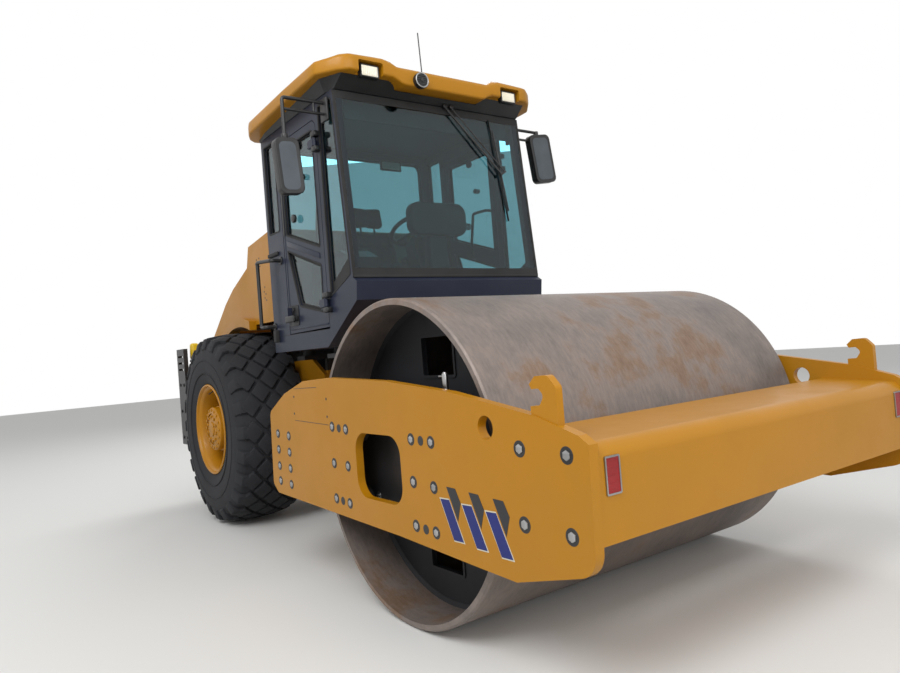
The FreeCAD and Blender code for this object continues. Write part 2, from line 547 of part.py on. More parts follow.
roof = slab.fuse(ridge).fuse(flip(ridge)).fuse(brow)
lamp_niche = box(ROOF_FRONT - 60, ROOF_FRONT + 1, LAMP_Y - 88, LAMP_Y + 88, CAB_TOP, LAMP_Z + 52)
roof = roof.cut(lamp_niche).cut(flip(lamp_niche)).removeSplitter()
nodes["roof"] = roof
lining = Part.makeLoft([plan_wire(LINING_PLAN, CAB_TOP), plan_wire(ROOF_PLAN, CAB_TOP + 100, 20)], True, True)
nodes["roof_lining"] = lining.cut(lamp_niche).cut(flip(lamp_niche)).cut(roof)
roof_lamp = box(ROOF_FRONT - 60, ROOF_FRONT - 12, LAMP_Y - 66, LAMP_Y + 66, LAMP_Z - 45, LAMP_Z + 38)
both("roof_lamps", roof_lamp)
horn = rod((ROOF_FRONT, -204, FRONT_LOW), (ROOF_FRONT + 30, -204, FRONT_LOW), 50)
MAST_X = ROOF_FRONT - 170
mast = join(rod((MAST_X, -60, ROOF_TOP - 15), (MAST_X, -60, ROOF_TOP + 25), 14),
            rod((MAST_X, -60, ROOF_TOP + 25), (MAST_X - 15, -60, ROOF_TOP + 330), 4)).cut(nodes["roof"])
nodes["horn_and_antenna"] = group(horn, mast)

# Doors, hinged at their front edge, with an upper and a lower window
door = prism([(DOOR_X0 + 9, FLOOR_Z + GAP), (DOOR_X0 + 9, DOOR_TOP - GAP, 55),
              (DOOR_X1 - GAP, DOOR_TOP - GAP, 55), (DOOR_X1 - GAP, FLOOR_Z + GAP + 8)],
             "xz", -CAB_HALF, -CAB_HALF + WALL)
upper_win = at(DOOR_X0, [(60, 2150), (60, 2740, 30), (568, 2740, 30), (568, 1985)])
lower_win = at(DOOR_X0, [(60, 2040), (568, 1870), (550, 1570, 60), (200, 1640, 60)])
door_panes = []
for win in (upper_win, lower_win):
    door = door.cut(prism(win, "xz", -CAB_HALF - 1, -CAB_HALF + WALL + 1))
    door_panes.append(prism(win, "xz", PANE_Y, PANE_Y + GLASS))
HINGE_X = DOOR_X1 + 12
HINGE_Y = -CAB_HALF - 22
HINGE_ZS = (1620, 2640)
HINGE_PIN = 8.0
door_parts = [door, box(DOOR_X0 + 34, DOOR_X0 + 64, -CAB_HALF - 35, -CAB_HALF, 1560, 1640)]
for z in HINGE_ZS:
    door_parts.append(rod((HINGE_X, HINGE_Y, z - 25), (HINGE_X, HINGE_Y, z + 25), 16))
    door_parts.append(box(DOOR_X1 - 75, HINGE_X, HINGE_Y - 6, HINGE_Y + 6, z - 25, z + 25))
    door_parts.append(box(DOOR_X1 - 75, DOOR_X1 - 15, HINGE_Y + 6, -CAB_HALF, z - 25, z + 25))
leaf = join(*door_parts)
hinges = []
for z in HINGE_ZS:
    leaf = leaf.cut(rod((HINGE_X, HINGE_Y, z - 26), (HINGE_X, HINGE_Y, z + 26), HINGE_PIN + FIT))
    pin = rod((HINGE_X, HINGE_Y, z - 60), (HINGE_X, HINGE_Y, z + 60), HINGE_PIN)
    for lo, hi in ((z - 60, z - 30), (z + 30, z + 60)):
        pin = pin.fuse(box(HINGE_X - 12, HINGE_X + 40, HINGE_Y - 14, -CAB_HALF, lo, hi))
    hinges.append(pin)
pair("door", leaf)
pair("cab_wall", join(wall, *hinges))
pair("door_glass", group(*door_panes))

# Grab rails round the cab's rear corners
RAIL_Y = -CAB_HALF - 75
grab = tube([(CAB_X + 214, -CAB_HALF, 1990), (CAB_X + 214, RAIL_Y, 1990), (CAB_X - 50, RAIL_Y, 2012),
             (CAB_X - 50, RAIL_Y, 1530), (CAB_X + 25, RAIL_Y, 1530), (CAB_X + 25, -CAB_HALF, 1530)], 14)
both("grab_rails", grab)

# Mirrors on ladder arms from the cab's front posts
MIRROR_X = CAB_X + 1070
ARM_R = 11.0


def mirror(side, arm_zs, y_end, head_y, head_z):
    # side is -1 or 1; head_y and head_z are the head's ranges
    y0 = CAB_HALF + 15
    block = box(MIRROR_X - 50, MIRROR_X + 50, CAB_HALF, y0, arm_zs[1] - 50, arm_zs[0] + 30)
    bend = (MIRROR_X, y_end, arm_zs[0])
    upper = tube([(MIRROR_X, y0, arm_zs[0]), bend, (MIRROR_X, y_end, head_z[1])], ARM_R)
    lower = tube([(MIRROR_X, y0, arm_zs[1]), (MIRROR_X, y_end, arm_zs[1])], ARM_R)
    head = prism([(head_y[0], head_z[0], 40), (head_y[0], head_z[1], 40), (head_y[1], head_z[1], 40),
                  (head_y[1], head_z[0], 40)], "yz", MIRROR_X - 30, MIRROR_X + 30)
    whole = join(block, upper, lower, head)
    return whole if side > 0 else flip(whole)


nodes["mirrors"] = group(mirror(-1, (2840, 2770), 1000, (915, 1085), (2230, 2600)),
                         mirror(1, (2860, 2790), 1020, (930, 1110), (2470, 2830)))

# Seat, console and steering wheel
SEAT_X = CAB_X + 490
nodes["seat_base"] = join(box(SEAT_X - 180, SEAT_X + 180, -200, 200, FLOOR_Z, 1700),
                          box(SEAT_X - 230, SEAT_X + 230, -240, 240, 1700, 1760))
cushion = prism([(SEAT_X - 200, 1760), (SEAT_X - 200, 1880), (SEAT_X + 250, 1895, 50),
                 (SEAT_X + 250, 1760)], "xz", -250, 250)
backrest = prism([(SEAT_X - 160, 1790), (SEAT_X - 290, 2450, 60), (SEAT_X - 400, 2440, 50),
                  (SEAT_X - 290, 1760), (SEAT_X - 160, 1762)], "xz", -240, 240)
nodes["seat"] = join(cushion, backrest)
column = prism(at(CAB_X, [(960, FLOOR_Z), (870, 2000), (970, 2046.3), (1100, FLOOR_Z + 140),
                          (1070, FLOOR_Z + 140)]), "xz", -110, 110)
nodes["steering_column"] = column.cut(nodes["cab_base"])
TILT = math.degrees(math.atan2(46.3, 100.0))
WHEEL_RING = 190.0
hexagon = [(15 * math.cos(math.pi * k / 3), WHEEL_RING + 15 * math.sin(math.pi * k / 3)) for k in range(6)]
steering = join(faceted(hexagon, 20), box(-178, 178, -8, 8, -22, 22), rod((0, 0, 0), (0, 104.8, 0), 26))
steering.rotate(V(0, 0, 0), V(1, 0, 0), -90)
steering.rotate(V(0, 0, 0), V(0, 0, 1), 90)
steering.rotate(V(0, 0, 0), V(0, 1, 0), -TILT)
hub_up = V(-math.sin(math.radians(TILT)), 0, math.cos(math.radians(TILT)))
steering.translate(V(CAB_X + 920, 0, 2023.15) + hub_up * 105)
nodes["steering_wheel"] = steering
nodes["side_console"] = prism([(SEAT_X - 250, FLOOR_Z), (SEAT_X - 250, 1960, 40), (SEAT_X + 200, 1990),
                               (SEAT_X + 330, 1930), (SEAT_X + 200, FLOOR_Z)], "xz", -520, -300)

for name, shape in nodes.items():
    shape.exportStep("parts/" + name + ".step")
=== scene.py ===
# A single drum road roller: dressed CAD frame, studio floor and lights.
import bpy
import bmesh
import json
import math
from mathutils import Matrix, Vector


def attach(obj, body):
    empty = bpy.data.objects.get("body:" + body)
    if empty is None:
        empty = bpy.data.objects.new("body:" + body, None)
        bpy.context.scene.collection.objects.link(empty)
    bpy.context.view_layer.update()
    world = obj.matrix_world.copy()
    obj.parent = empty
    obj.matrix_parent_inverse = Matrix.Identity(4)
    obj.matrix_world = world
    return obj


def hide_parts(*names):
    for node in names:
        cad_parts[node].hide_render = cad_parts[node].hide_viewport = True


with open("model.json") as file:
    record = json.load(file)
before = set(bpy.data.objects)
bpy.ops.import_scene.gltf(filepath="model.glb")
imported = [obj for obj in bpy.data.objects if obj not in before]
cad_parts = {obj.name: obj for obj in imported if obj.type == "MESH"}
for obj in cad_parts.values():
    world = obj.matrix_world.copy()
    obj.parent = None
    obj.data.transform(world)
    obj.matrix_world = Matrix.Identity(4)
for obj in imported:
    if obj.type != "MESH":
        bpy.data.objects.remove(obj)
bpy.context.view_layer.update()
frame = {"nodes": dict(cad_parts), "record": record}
NODES = frame["nodes"]
RECORD = frame["record"]

# Places, in metres, in the CAD's frame
DRUM_X = 1.635
WHEELBASE = 3.020
WHEEL_X = DRUM_X - WHEELBASE
PLATE_OUT = 1.150
CAB_HALF = 0.745
CAB_X = -0.495               # the cab's rear face


def linear(code):
    # sRGB hex to linear colour
    parts = [int(code[i:i + 2], 16) / 255 for i in (1, 3, 5)]
    return [c / 12.92 if c <= 0.04045 else ((c + 0.055) / 1.055) ** 2.4 for c in parts] + [1.0]


def add(tree, kind, links=None, **settings):
    # one shader node; settings are properties or input values, links are sources for its inputs
    n = tree.nodes.new(kind)
    for key, value in settings.items():
        if hasattr(n, key):
            setattr(n, key, value)
        else:
            n.inputs[key.replace("_", " ")].default_value = value
    for key, source in (links or {}).items():
        tree.links.new(source, n.inputs[key])
    return n


def surface(name, **sockets):
    # a new material with its Principled shader, constants set on its own sockets
    m = bpy.data.materials.new(name)
    m.use_nodes = True
    s = m.node_tree.nodes["Principled BSDF"]
    for key, value in sockets.items():
        s.inputs[key.replace("_", " ")].default_value = value
    return m, m.node_tree, s


def ramp(tree, source, stops):
    # colour ramp with (position, hex) stops
    n = add(tree, "ShaderNodeValToRGB", {"Fac": source})
    e = n.color_ramp.elements
    while len(e) < len(stops):
        e.new(0.5)
    for i, (at, code) in enumerate(stops):
        e[i].position = at
        e[i].color = linear(code)
    return n.outputs["Color"]


def paint(name, base, dust, roughness, dust_amount):
    # two-pack enamel sprayed on steel: orange peel 3 mm across, a thin film of road dust in low noise
    m, t, s = surface(name, Roughness=roughness, Coat_Weight=0.12, Coat_Roughness=0.15)
    s.inputs["Specular IOR Level"].default_value = 0.25
    at = add(t, "ShaderNodeTexCoord").outputs["Object"]
    broad = add(t, "ShaderNodeTexNoise", {"Vector": at}, Scale=2.2, Detail=5.0, Roughness=0.6)
    fac = add(t, "ShaderNodeMapRange", {"Value": broad.outputs["Fac"]}, From_Min=0.42, From_Max=0.75,
              To_Min=0.0, To_Max=dust_amount)
    mix = add(t, "ShaderNodeMix", {"Factor": fac.outputs["Result"]}, data_type="RGBA")
    mix.inputs["A"].default_value = linear(base)
    mix.inputs["B"].default_value = linear(dust)
    t.links.new(mix.outputs["Result"], s.inputs["Base Color"])
    rough = add(t, "ShaderNodeMapRange", {"Value": broad.outputs["Fac"]}, From_Min=0.3, From_Max=0.8,
                To_Min=roughness - 0.05, To_Max=roughness + 0.18)
    t.links.new(rough.outputs["Result"], s.inputs["Roughness"])
    peel = add(t, "ShaderNodeTexNoise", {"Vector": at}, Scale=330.0, Detail=2.0)
    bump = add(t, "ShaderNodeBump", {"Height": peel.outputs["Fac"]}, Strength=0.04, Distance=0.001)
    t.links.new(bump.outputs["Normal"], s.inputs["Normal"])
    return m


def rolled_steel():
    # mild steel worn bright by gravel, with rust and dry mud in bands round the drum
    m, t, s = surface("rolled_steel", Metallic=0.35, Roughness=0.55)
    at = add(t, "ShaderNodeTexCoord").outputs["Object"]
    long = add(t, "ShaderNodeMapping", {"Vector": at})
    long.inputs["Scale"].default_value = (1.0, 4.0, 1.0)
    patch = add(t, "ShaderNodeTexNoise", {"Vector": at}, Scale=1.9, Detail=9.0, Roughness=0.66)
    fine = add(t, "ShaderNodeTexNoise", {"Vector": long.outputs["Vector"]}, Scale=16.0, Detail=8.0,
               Roughness=0.7)
    grit = add(t, "ShaderNodeTexNoise", {"Vector": at}, Scale=160.0, Detail=3.0)
    a = ramp(t, patch.outputs["Fac"], [(0.30, "#5a5350"), (0.44, "#756b66"), (0.54, "#857871"),
                                       (0.61, "#80634a"), (0.72, "#63432a")])
    b = ramp(t, fine.outputs["Fac"], [(0.35, "#5a5450"), (0.62, "#8a7f78")])
    mix = add(t, "ShaderNodeMix", {"A": a, "B": b}, data_type="RGBA", Factor=0.35)
    t.links.new(mix.outputs["Result"], s.inputs["Base Color"])
    bump = add(t, "ShaderNodeBump", {"Height": grit.outputs["Fac"]}, Strength=0.25, Distance=0.002)
    t.links.new(bump.outputs["Normal"], s.inputs["Normal"])
    return m


def plain(name, base, other, roughness, metallic=0.0, scale=40.0, bump_strength=0.1):
    # moulded or coated finish with a slight variation in colour and a fine grain
    m, t, s = surface(name, Roughness=roughness, Metallic=metallic)
    at = add(t, "ShaderNodeTexCoord").outputs["Object"]
    n = add(t, "ShaderNodeTexNoise", {"Vector": at}, Scale=scale / 8, Detail=4.0)
    c = ramp(t, n.outputs["Fac"], [(0.35, base), (0.70, other)])
    t.links.new(c, s.inputs["Base Color"])
    g = add(t, "ShaderNodeTexNoise", {"Vector": at}, Scale=scale * 20, Detail=2.0)
    bump = add(t, "ShaderNodeBump", {"Height": g.outputs["Fac"]}, Strength=bump_strength, Distance=0.001)
    t.links.new(bump.outputs["Normal"], s.inputs["Normal"])
    return m


def pane():
    # tinted float glass: a clear sharp view through it, darkened and faintly green-blue
    m, t, s = surface("tinted_float_glass", Roughness=0.0, IOR=1.45, Transmission_Weight=1.0)
    s.inputs["Base Color"].default_value = linear("#8fb8bf")
    s.inputs["Specular IOR Level"].default_value = 0.25
    return m


FINISH = {
    "yellow_paint": paint("yellow_enamel", "#aa7309", "#8f6d30", 0.40, 0.22),
    "cab_grey": paint("slate_grey_enamel", "#212636", "#353a45", 0.42, 0.3),
    "drum_steel": rolled_steel(),
    "drum_inner": plain("drum_primer", "#0b0d12", "#16181d", 0.65),
    "black_metal": plain("black_enamel", "#141415", "#242425", 0.42),
    "bare_steel": plain("ground_steel", "#9b9b9b", "#b9b9b9", 0.28, 1.0),
    "black_rubber": plain("moulded_rubber", "#161616", "#232323", 0.75),
    "tyre_rubber": plain("tyre_rubber", "#121317", "#1f2025", 0.85, 0.0, 30.0, 0.3),
    "tinted_glass": pane(),
    "lamp_lens": plain("lamp_lens", "#e9e2cc", "#f6f2e4", 0.12),
    "red_lens": plain("red_reflector", "#83060c", "#960f16", 0.4, 0.0, 60.0, 0.2),
    "seat_cloth": plain("seat_cloth", "#1b1c1e", "#2a2b2e", 0.9, 0.0, 60.0, 0.5),
    "dark_plastic": plain("moulded_abs", "#1a1b1c", "#262728", 0.5, 0.0, 40.0, 0.2),
    "yellow_plastic": plain("amber_plastic", "#d8b40e", "#e6c62a", 0.35),
}
BLUE_FILM = plain("blue_vinyl_film", "#0b185f", "#10206c", 0.55, 0.0, 20.0, 0.02)
PALE_FILM = plain("pale_vinyl_film", "#b9b6a4", "#cac7b6", 0.4, 0.0, 20.0, 0.02)
DARK_FILM = plain("dark_vinyl_film", "#17181c", "#202126", 0.35, 0.0, 20.0, 0.02)
SILVERED, _, glass_shader = surface("silvered_mirror_glass", Metallic=1.0, Roughness=0.03)
glass_shader.inputs["Base Color"].default_value = linear("#dfe6ea")
BACK_GREY = plain("grey_moulded_abs", "#3c434a", "#4a5158", 0.4, 0.0, 40.0, 0.1)
SLOT_OF = {p["node"]: p["material_slot"] for p in RECORD["subparts"]}
for name, obj in NODES.items():
    for s in obj.material_slots:
        s.material = FINISH[SLOT_OF[name]]

# Making pieces: a primitive is started, shaped in edit mode, and settled on its body
BODY_OF = {node: body for body, nodes in RECORD["behaviour"]["bodies"].items() for node in nodes}


def start(kind, name, **shape):
    # a primitive at its place, with nothing else selected, its place put into its mesh
    bpy.ops.object.select_all(action="DESELECT")
    getattr(bpy.ops.mesh, "primitive_" + kind + "_add")(**shape)
    piece = bpy.context.object
    piece.name = name
    bpy.ops.object.transform_apply(location=True, rotation=True, scale=True)
    return piece


def block(name, low, high):
    middle = [(a + b) / 2 for a, b in zip(low, high)]
    return start("cube", name, size=1, location=middle, scale=[b - a for a, b in zip(low, high)])


TURN_TO = {"x": (0, math.pi / 2, 0), "y": (math.pi / 2, 0, 0), "z": (0, 0, 0)}


def disc(name, centre, axis, radius, depth, sides=32):
    # depth runs along the axis, half to each side of the centre
    return start("cylinder", name, vertices=sides, radius=radius, depth=depth, location=centre,
                 rotation=TURN_TO[axis])


def pick(piece, test, kind="FACE"):
    # edit mode, with only the faces, edges or points selected that pass the test
    bpy.context.view_layer.objects.active = piece
    if piece.mode != "EDIT":
        bpy.ops.object.mode_set(mode="EDIT")
    bpy.ops.mesh.select_mode(type=kind)
    bpy.ops.mesh.select_all(action="DESELECT")
    mesh = bmesh.from_edit_mesh(piece.data)
    for part in {"FACE": mesh.faces, "EDGE": mesh.edges, "VERT": mesh.verts}[kind]:
        if test(part):
            part.select_set(True)
    bmesh.update_edit_mesh(piece.data)


def leave():
    bpy.ops.object.mode_set(mode="OBJECT")


def facing(direction, limit=0.9):
    # test for faces that look along a direction
    aim = Vector(direction).normalized()
    return lambda face: face.normal.dot(aim) > limit


def along(axis):
    # test for edges that run along an axis
    k = "xyz".index(axis)
    return lambda edge: abs((edge.verts[0].co - edge.verts[1].co)[k]) > 0.95 * edge.calc_length()


def everything(part):
    return True


def rounded(piece, width, segments=3, test=everything):
    # bevels the picked edges and goes back to object mode
    pick(piece, test, "EDGE")
    bpy.ops.mesh.bevel(offset=width, segments=segments, affect="EDGES", clamp_overlap=True)
    leave()
    return piece


def inset_face(piece, test, thickness, depth):
    # a picked face gets a border, and its middle goes in by a negative depth
    pick(piece, test)
    bpy.ops.mesh.inset(thickness=thickness, depth=depth)
    leave()
    return piece


def slab(name, corners, axis, low, high):
    # flat outline swept along an axis; the corners are its other two coordinates in xyz order
    bpy.ops.object.select_all(action="DESELECT")
    bpy.ops.mesh.primitive_circle_add(vertices=len(corners), fill_type="NGON")
    piece = bpy.context.object
    piece.name = name
    k = "xyz".index(axis)
    for point, corner in zip(piece.data.vertices, corners):
        place = list(corner)
        place.insert(k, low)
        point.co = place
    bpy.ops.object.mode_set(mode="EDIT")
    bpy.ops.mesh.select_all(action="SELECT")
    push = [0.0, 0.0, 0.0]
    push[k] = high - low
    bpy.ops.mesh.extrude_region_move(TRANSFORM_OT_translate={"value": push})
    outward()
    return piece


def outward():
    # in edit mode: doubles merged, normals outwards, back to object mode
    bpy.ops.mesh.select_all(action="SELECT")
    bpy.ops.mesh.remove_doubles(threshold=0.00005)
    bpy.ops.mesh.normals_make_consistent(inside=False)
    leave()


def turn_piece(piece, centre, axis, degrees):
    # turns the mesh about a line through a place
    c = Vector(centre)
    piece.data.transform(Matrix.Translation(c) @ Matrix.Rotation(math.radians(degrees), 4, axis)
                         @ Matrix.Translation(-c))
    return piece


def pipe(name, points, radius, sides=3, order=0):
    # round bar along a path: straight runs, or a smooth line of the given order
    bpy.ops.object.select_all(action="DESELECT")
    bpy.ops.curve.primitive_nurbs_path_add()
    piece = bpy.context.object
    piece.name = name
    path = piece.data
    path.splines.clear()
    line = path.splines.new("NURBS" if order else "POLY")
    line.points.add(len(points) - 1)
    for point, place in zip(line.points, points):
        point.co = (*place, 1.0)
    if order:
        line.use_endpoint_u = True
        line.order_u = order
        line.resolution_u = 6
    path.dimensions = "3D"
    path.bevel_depth = radius
    path.bevel_resolution = sides
    path.use_fill_caps = True
    bpy.ops.object.convert(target="MESH")
    return bpy.context.object


def joined(pieces, name):
    bpy.ops.object.select_all(action="DESELECT")
    for piece in pieces:
        piece.select_set(True)
    bpy.context.view_layer.objects.active = pieces[0]
    if len(pieces) > 1:
        bpy.ops.object.join()
    pieces[0].name = name
    return pieces[0]


def copied(piece, move):
    # a copy with its own mesh, moved by a matrix
    other = piece.copy()
    other.data = piece.data.copy()
    other.data.transform(move)
    bpy.context.scene.collection.objects.link(other)
    return other


def repeated(piece, name, moves):
    # the same piece at each move, as one mesh
    copies = [copied(piece, m) for m in moves]
    bpy.data.objects.remove(piece)
    return joined(copies, name)


def at_places(places):
    return [Matrix.Translation(p) for p in places]


def round_axis(centre, axis, count, first=0.0):
    # equal turns about a line through a place
    c = Matrix.Translation(centre)
    back = Matrix.Translation([-v for v in centre])
    return [c @ Matrix.Rotation(first + 2 * math.pi * k / count, 4, axis) @ back for k in range(count)]


def other_side(piece, name):
    # the same piece on the machine's other side, faces turned back outwards
    twin = copied(piece, Matrix.Scale(-1, 4, (0, 1, 0)))
    twin.name = name
    twin.data.flip_normals()
    return twin


def modified(piece, kind, **settings):
    # one modifier, set and applied
    bpy.ops.object.select_all(action="DESELECT")
    piece.select_set(True)
    bpy.context.view_layer.objects.active = piece
    change = piece.modifiers.new(kind.title(), kind)
    for key, value in settings.items():
        setattr(change, key, value)
    bpy.ops.object.modifier_apply(modifier=change.name)
    return piece


def settled(piece, node, slot, finish=None, smooth=35.0):
    # the finished piece: its material (the slot's finish unless one is given), its shading, the body of a
    # CAD node to ride on
    bpy.ops.object.select_all(action="DESELECT")
    piece.select_set(True)
    bpy.context.view_layer.objects.active = piece
    bpy.ops.object.shade_smooth_by_angle(angle=math.radians(smooth))
    piece.data.materials.clear()
    piece.data.materials.append(finish or FINISH[slot])
    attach(piece, BODY_OF[node])
    return piece


def both_sides(piece, node, slot, finish=None, smooth=35.0):
    # a right-hand piece, named with _right as its node is, and its twin on the left
    twin = other_side(piece, piece.name.replace("_right", "_left"))
    settled(piece, node, slot, finish, smooth)
    settled(twin, node.replace("_right", "_left"), slot, finish, smooth)
    return piece, twin


def border(name, corners, axis, level, width, thick, radius):
    # flat ring just inside a rounded outline, its back at the level
    k = "xyz".index(axis)
    bpy.ops.object.select_all(action="DESELECT")
    bpy.ops.mesh.primitive_circle_add(vertices=len(corners), fill_type="NGON")
    piece = bpy.context.object
    piece.name = name
    for point, place in zip(piece.data.vertices, corners):
        place = list(place)
        place.insert(k, level)
        point.co = place
    bpy.ops.object.mode_set(mode="EDIT")
    bpy.ops.mesh.select_all(action="SELECT")
    bpy.ops.mesh.bevel(offset=radius, segments=6, affect="VERTICES")
    pick(piece, everything)
    bpy.ops.mesh.inset(thickness=width)
    bpy.ops.mesh.delete(type="FACE")
    pick(piece, everything)
    push = [0.0, 0.0, 0.0]
    push[k] = thick
    bpy.ops.mesh.extrude_region_move(TRANSFORM_OT_translate={"value": push})
    outward()
    return piece


def bends(points, radius):
    # path with three points at each inner corner, for a smooth line of order 3
    out = [Vector(points[0])]
    for a, b, c in zip(points, points[1:], points[2:]):
        a, b, c = Vector(a), Vector(b), Vector(c)
        out += [b + (a - b).normalized() * radius, b, b + (c - b).normalized() * radius]
    return out + [Vector(points[-1])]


def corner(edge):
    # test for edges at a sharp turn between two faces
    return len(edge.link_faces) == 2 and edge.calc_face_angle(0) > math.radians(50)


# Tyres: moulded carcass with a bead, and staggered diamond blocks with narrow grooves
TYRE_R = 0.770
TRACK = 0.720
PITCHES = 24
LUG_LONG = 0.084
LUG_WIDE = 0.073
# rows: middle across the tread, top radius, half pitch offset, tilt towards the shoulder
LUG_ROWS = [(0.0, 0.7645, 0, 0), (0.092, 0.763, 1, 3), (-0.092, 0.763, 1, -3), (0.184, 0.752, 0, 9),
            (-0.184, 0.752, 0, -9)]
# half of the section, from the bead to the middle of the crown: (across, radius)
CARCASS = [(-0.235, 0.335), (-0.256, 0.365), (-0.268, 0.372), (-0.284, 0.430), (-0.2925, 0.510), (-0.290,
        0.585),
           (-0.280, 0.640), (-0.264, 0.688), (-0.238, 0.714), (-0.150, 0.735), (-0.050, 0.741)]


def ring_of(section, steps, name):
    # closed outline of (across, radius) turned about the Y axis
    bpy.ops.object.select_all(action="DESELECT")
    bpy.ops.mesh.primitive_circle_add(vertices=len(section))
    piece = bpy.context.object
    piece.name = name
    for point, (across, radius) in zip(piece.data.vertices, section):
        point.co = (0, across, radius)
    bpy.ops.object.mode_set(mode="EDIT")
    bpy.ops.mesh.select_all(action="SELECT")
    bpy.ops.mesh.spin(steps=steps, angle=2 * math.pi, center=(0, 0, 0), axis=(0, 1, 0))
    outward()
    return piece


def lug(across, top, tilt):
    corners = [(LUG_LONG, 0), (0, LUG_WIDE), (-LUG_LONG, 0), (0, -LUG_WIDE)]
    piece = slab("lug", corners, "z", top - 0.034, top)
    rounded(piece, 0.012, 2, along("z"))
    rounded(piece, 0.005, 2, lambda edge: min(v.co.z for v in edge.verts) > top - 0.001)
    turn_piece(piece, (0, 0, top), "X", -tilt)
    piece.data.transform(Matrix.Translation((0, across, 0)))
    return piece


def tyre():
    parts = [ring_of(CARCASS + [(-y, r) for y, r in reversed(CARCASS)], 96, "carcass")]
    for across, top, odd, tilt in LUG_ROWS:
        turns = round_axis((0, 0, 0), "Y", PITCHES, odd * math.pi / PITCHES)
        parts.append(repeated(lug(across, top, tilt), "row", turns))
    # shoulder blocks that run down the side from the outer rows
    side = slab("side", [(-0.2, 0.748), (-0.262, 0.735), (-0.289, 0.655), (-0.27, 0.640), (-0.2, 0.70)],
                "x",
                -0.046, 0.046)
    rounded(side, 0.006, 2)
    sides = repeated(side, "sides", round_axis((0, 0, 0), "Y", PITCHES))
    parts += [sides, other_side(sides, "sides_in")]
    for radius in (0.455, 0.560):
        rib = ring_of([(-0.284, radius - 0.004), (-0.2945, radius), (-0.284, radius + 0.004)], 96, "rib")
        parts += [rib]
    whole = joined(parts, "block_tyre_right")
    whole.data.transform(Matrix.Translation((WHEEL_X, -TRACK, TYRE_R)))
    return whole


for piece, side in zip(both_sides(tyre(), "tyre_right", "tyre_rubber"), ("right", "left")):
    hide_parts("tyre_" + side)

# Bolts on the side plates: (along from the drum's axis, up)
SMALL_BOLTS = [(-1.201, 0.846), (-1.044, 0.840), (-1.206, 0.752), (-1.049, 0.746), (-1.209, 0.655), (-1.051,
        0.652),
               (-1.210, 0.566), (-1.054, 0.559), (-0.476, 0.917), (-0.328, 0.910), (-0.484, 0.549), (-0.339,
                       0.542),
               (0.269, 0.894), (0.419, 0.890), (0.260, 0.523), (0.410, 0.517), (-0.481, 0.730), (-0.331,
                       0.727),
               (0.263, 0.711), (0.417, 0.704)]
OPEN_HOLES = [(-0.402, 0.912), (-0.414, 0.545), (0.343, 0.892), (0.334, 0.519)]
LARGE_BOLTS = [(0.970, 0.900), (1.199, 0.894), (0.967, 0.635), (1.195, 0.630)]
PLATE_DOTS = [(-0.931, 1.067), (-0.522, 1.059), (-0.939, 0.972), (-0.524, 0.967)]

def bolt(name, radius, height, face):
    # hexagon head over a washer, looking out to the right, the washer's back at the face
    head = disc(name, (0, face - height / 2, 0), "y", radius, height, 6)
    rounded(head, radius * 0.10, 2)
    washer = disc("washer", (0, face - height * 0.15, 0), "y", radius * 1.32, height * 0.3, 28)
    rounded(washer, height * 0.08, 1, corner)
    return joined([head, washer], name)


def on_plate(places):
    return at_places([(DRUM_X + x, 0, z) for x, z in places])


def flat_disc(name, radius, proud, sides=32):
    piece = disc(name, (0, -PLATE_OUT - proud / 2 + 0.001, 0), "y", radius, proud + 0.002, sides)
    return rounded(piece, 0.0006, 1, corner)


for label, places, radius in (("small", SMALL_BOLTS, 0.0165), ("large", LARGE_BOLTS, 0.0185)):
    heads = repeated(bolt("bolt", radius, 0.011, -PLATE_OUT + 0.007), label + "_plate_bolts_right",
                     on_plate(places))
    both_sides(heads, "frame_plate_right", "bare_steel")
    # black flat rings round each bolt head: painted shade of the recess it sits in
    rings = repeated(flat_disc("ring", radius * 1.62, 0.001), label + "_bolt_recesses_right",
                     on_plate(places))
    both_sides(rings, "frame_plate_right", "black_metal")
# black discs on the open holes: painted shade inside the holes
hole_shade_discs = repeated(flat_disc("hole", 0.021, 0.001), "open_holes_right", on_plate(OPEN_HOLES))
both_sides(hole_shade_discs, "frame_plate_right", "black_metal")
dots = repeated(flat_disc("dot", 0.007, 0.001, 16), "plate_dots_right", on_plate(PLATE_DOTS))
both_sides(dots, "frame_plate_right", "black_metal")

# Three slanted bars with dark darts on each plate: (along, up) from the drum's axis
BAR = [(0.459, 0.664), (0.520, 0.666), (0.599, 0.509), (0.534, 0.508)]
DART = [(0.507, 0.718), (0.566, 0.716), (0.596, 0.662), (0.570, 0.587)]
BAR_PITCH = (0.146, -0.006)


def stripe(name, corners, grow, proud):
    # thin film on the plate, grown about its middle
    cx = sum(x for x, z in corners) / 4
    cz = sum(z for x, z in corners) / 4
    corners = [(DRUM_X + cx + (x - cx) * (1 + grow), cz + (z - cz) * (1 + grow * 0.6)) for x, z in corners]
    piece = slab(name, corners, "y", -PLATE_OUT - proud, -PLATE_OUT + 0.002)
    return repeated(piece, name, at_places([(k * BAR_PITCH[0], 0, k * BAR_PITCH[1]) for k in range(3)]))


both_sides(stripe("bar_edges_right", BAR, 0.10, 0.0006), "frame_plate_right", "yellow_paint", PALE_FILM)
both_sides(stripe("bars_right", BAR, 0.0, 0.0010), "frame_plate_right", "yellow_paint", BLUE_FILM)
both_sides(stripe("darts_right", DART, 0.0, 0.0012), "frame_plate_right", "yellow_paint", DARK_FILM)

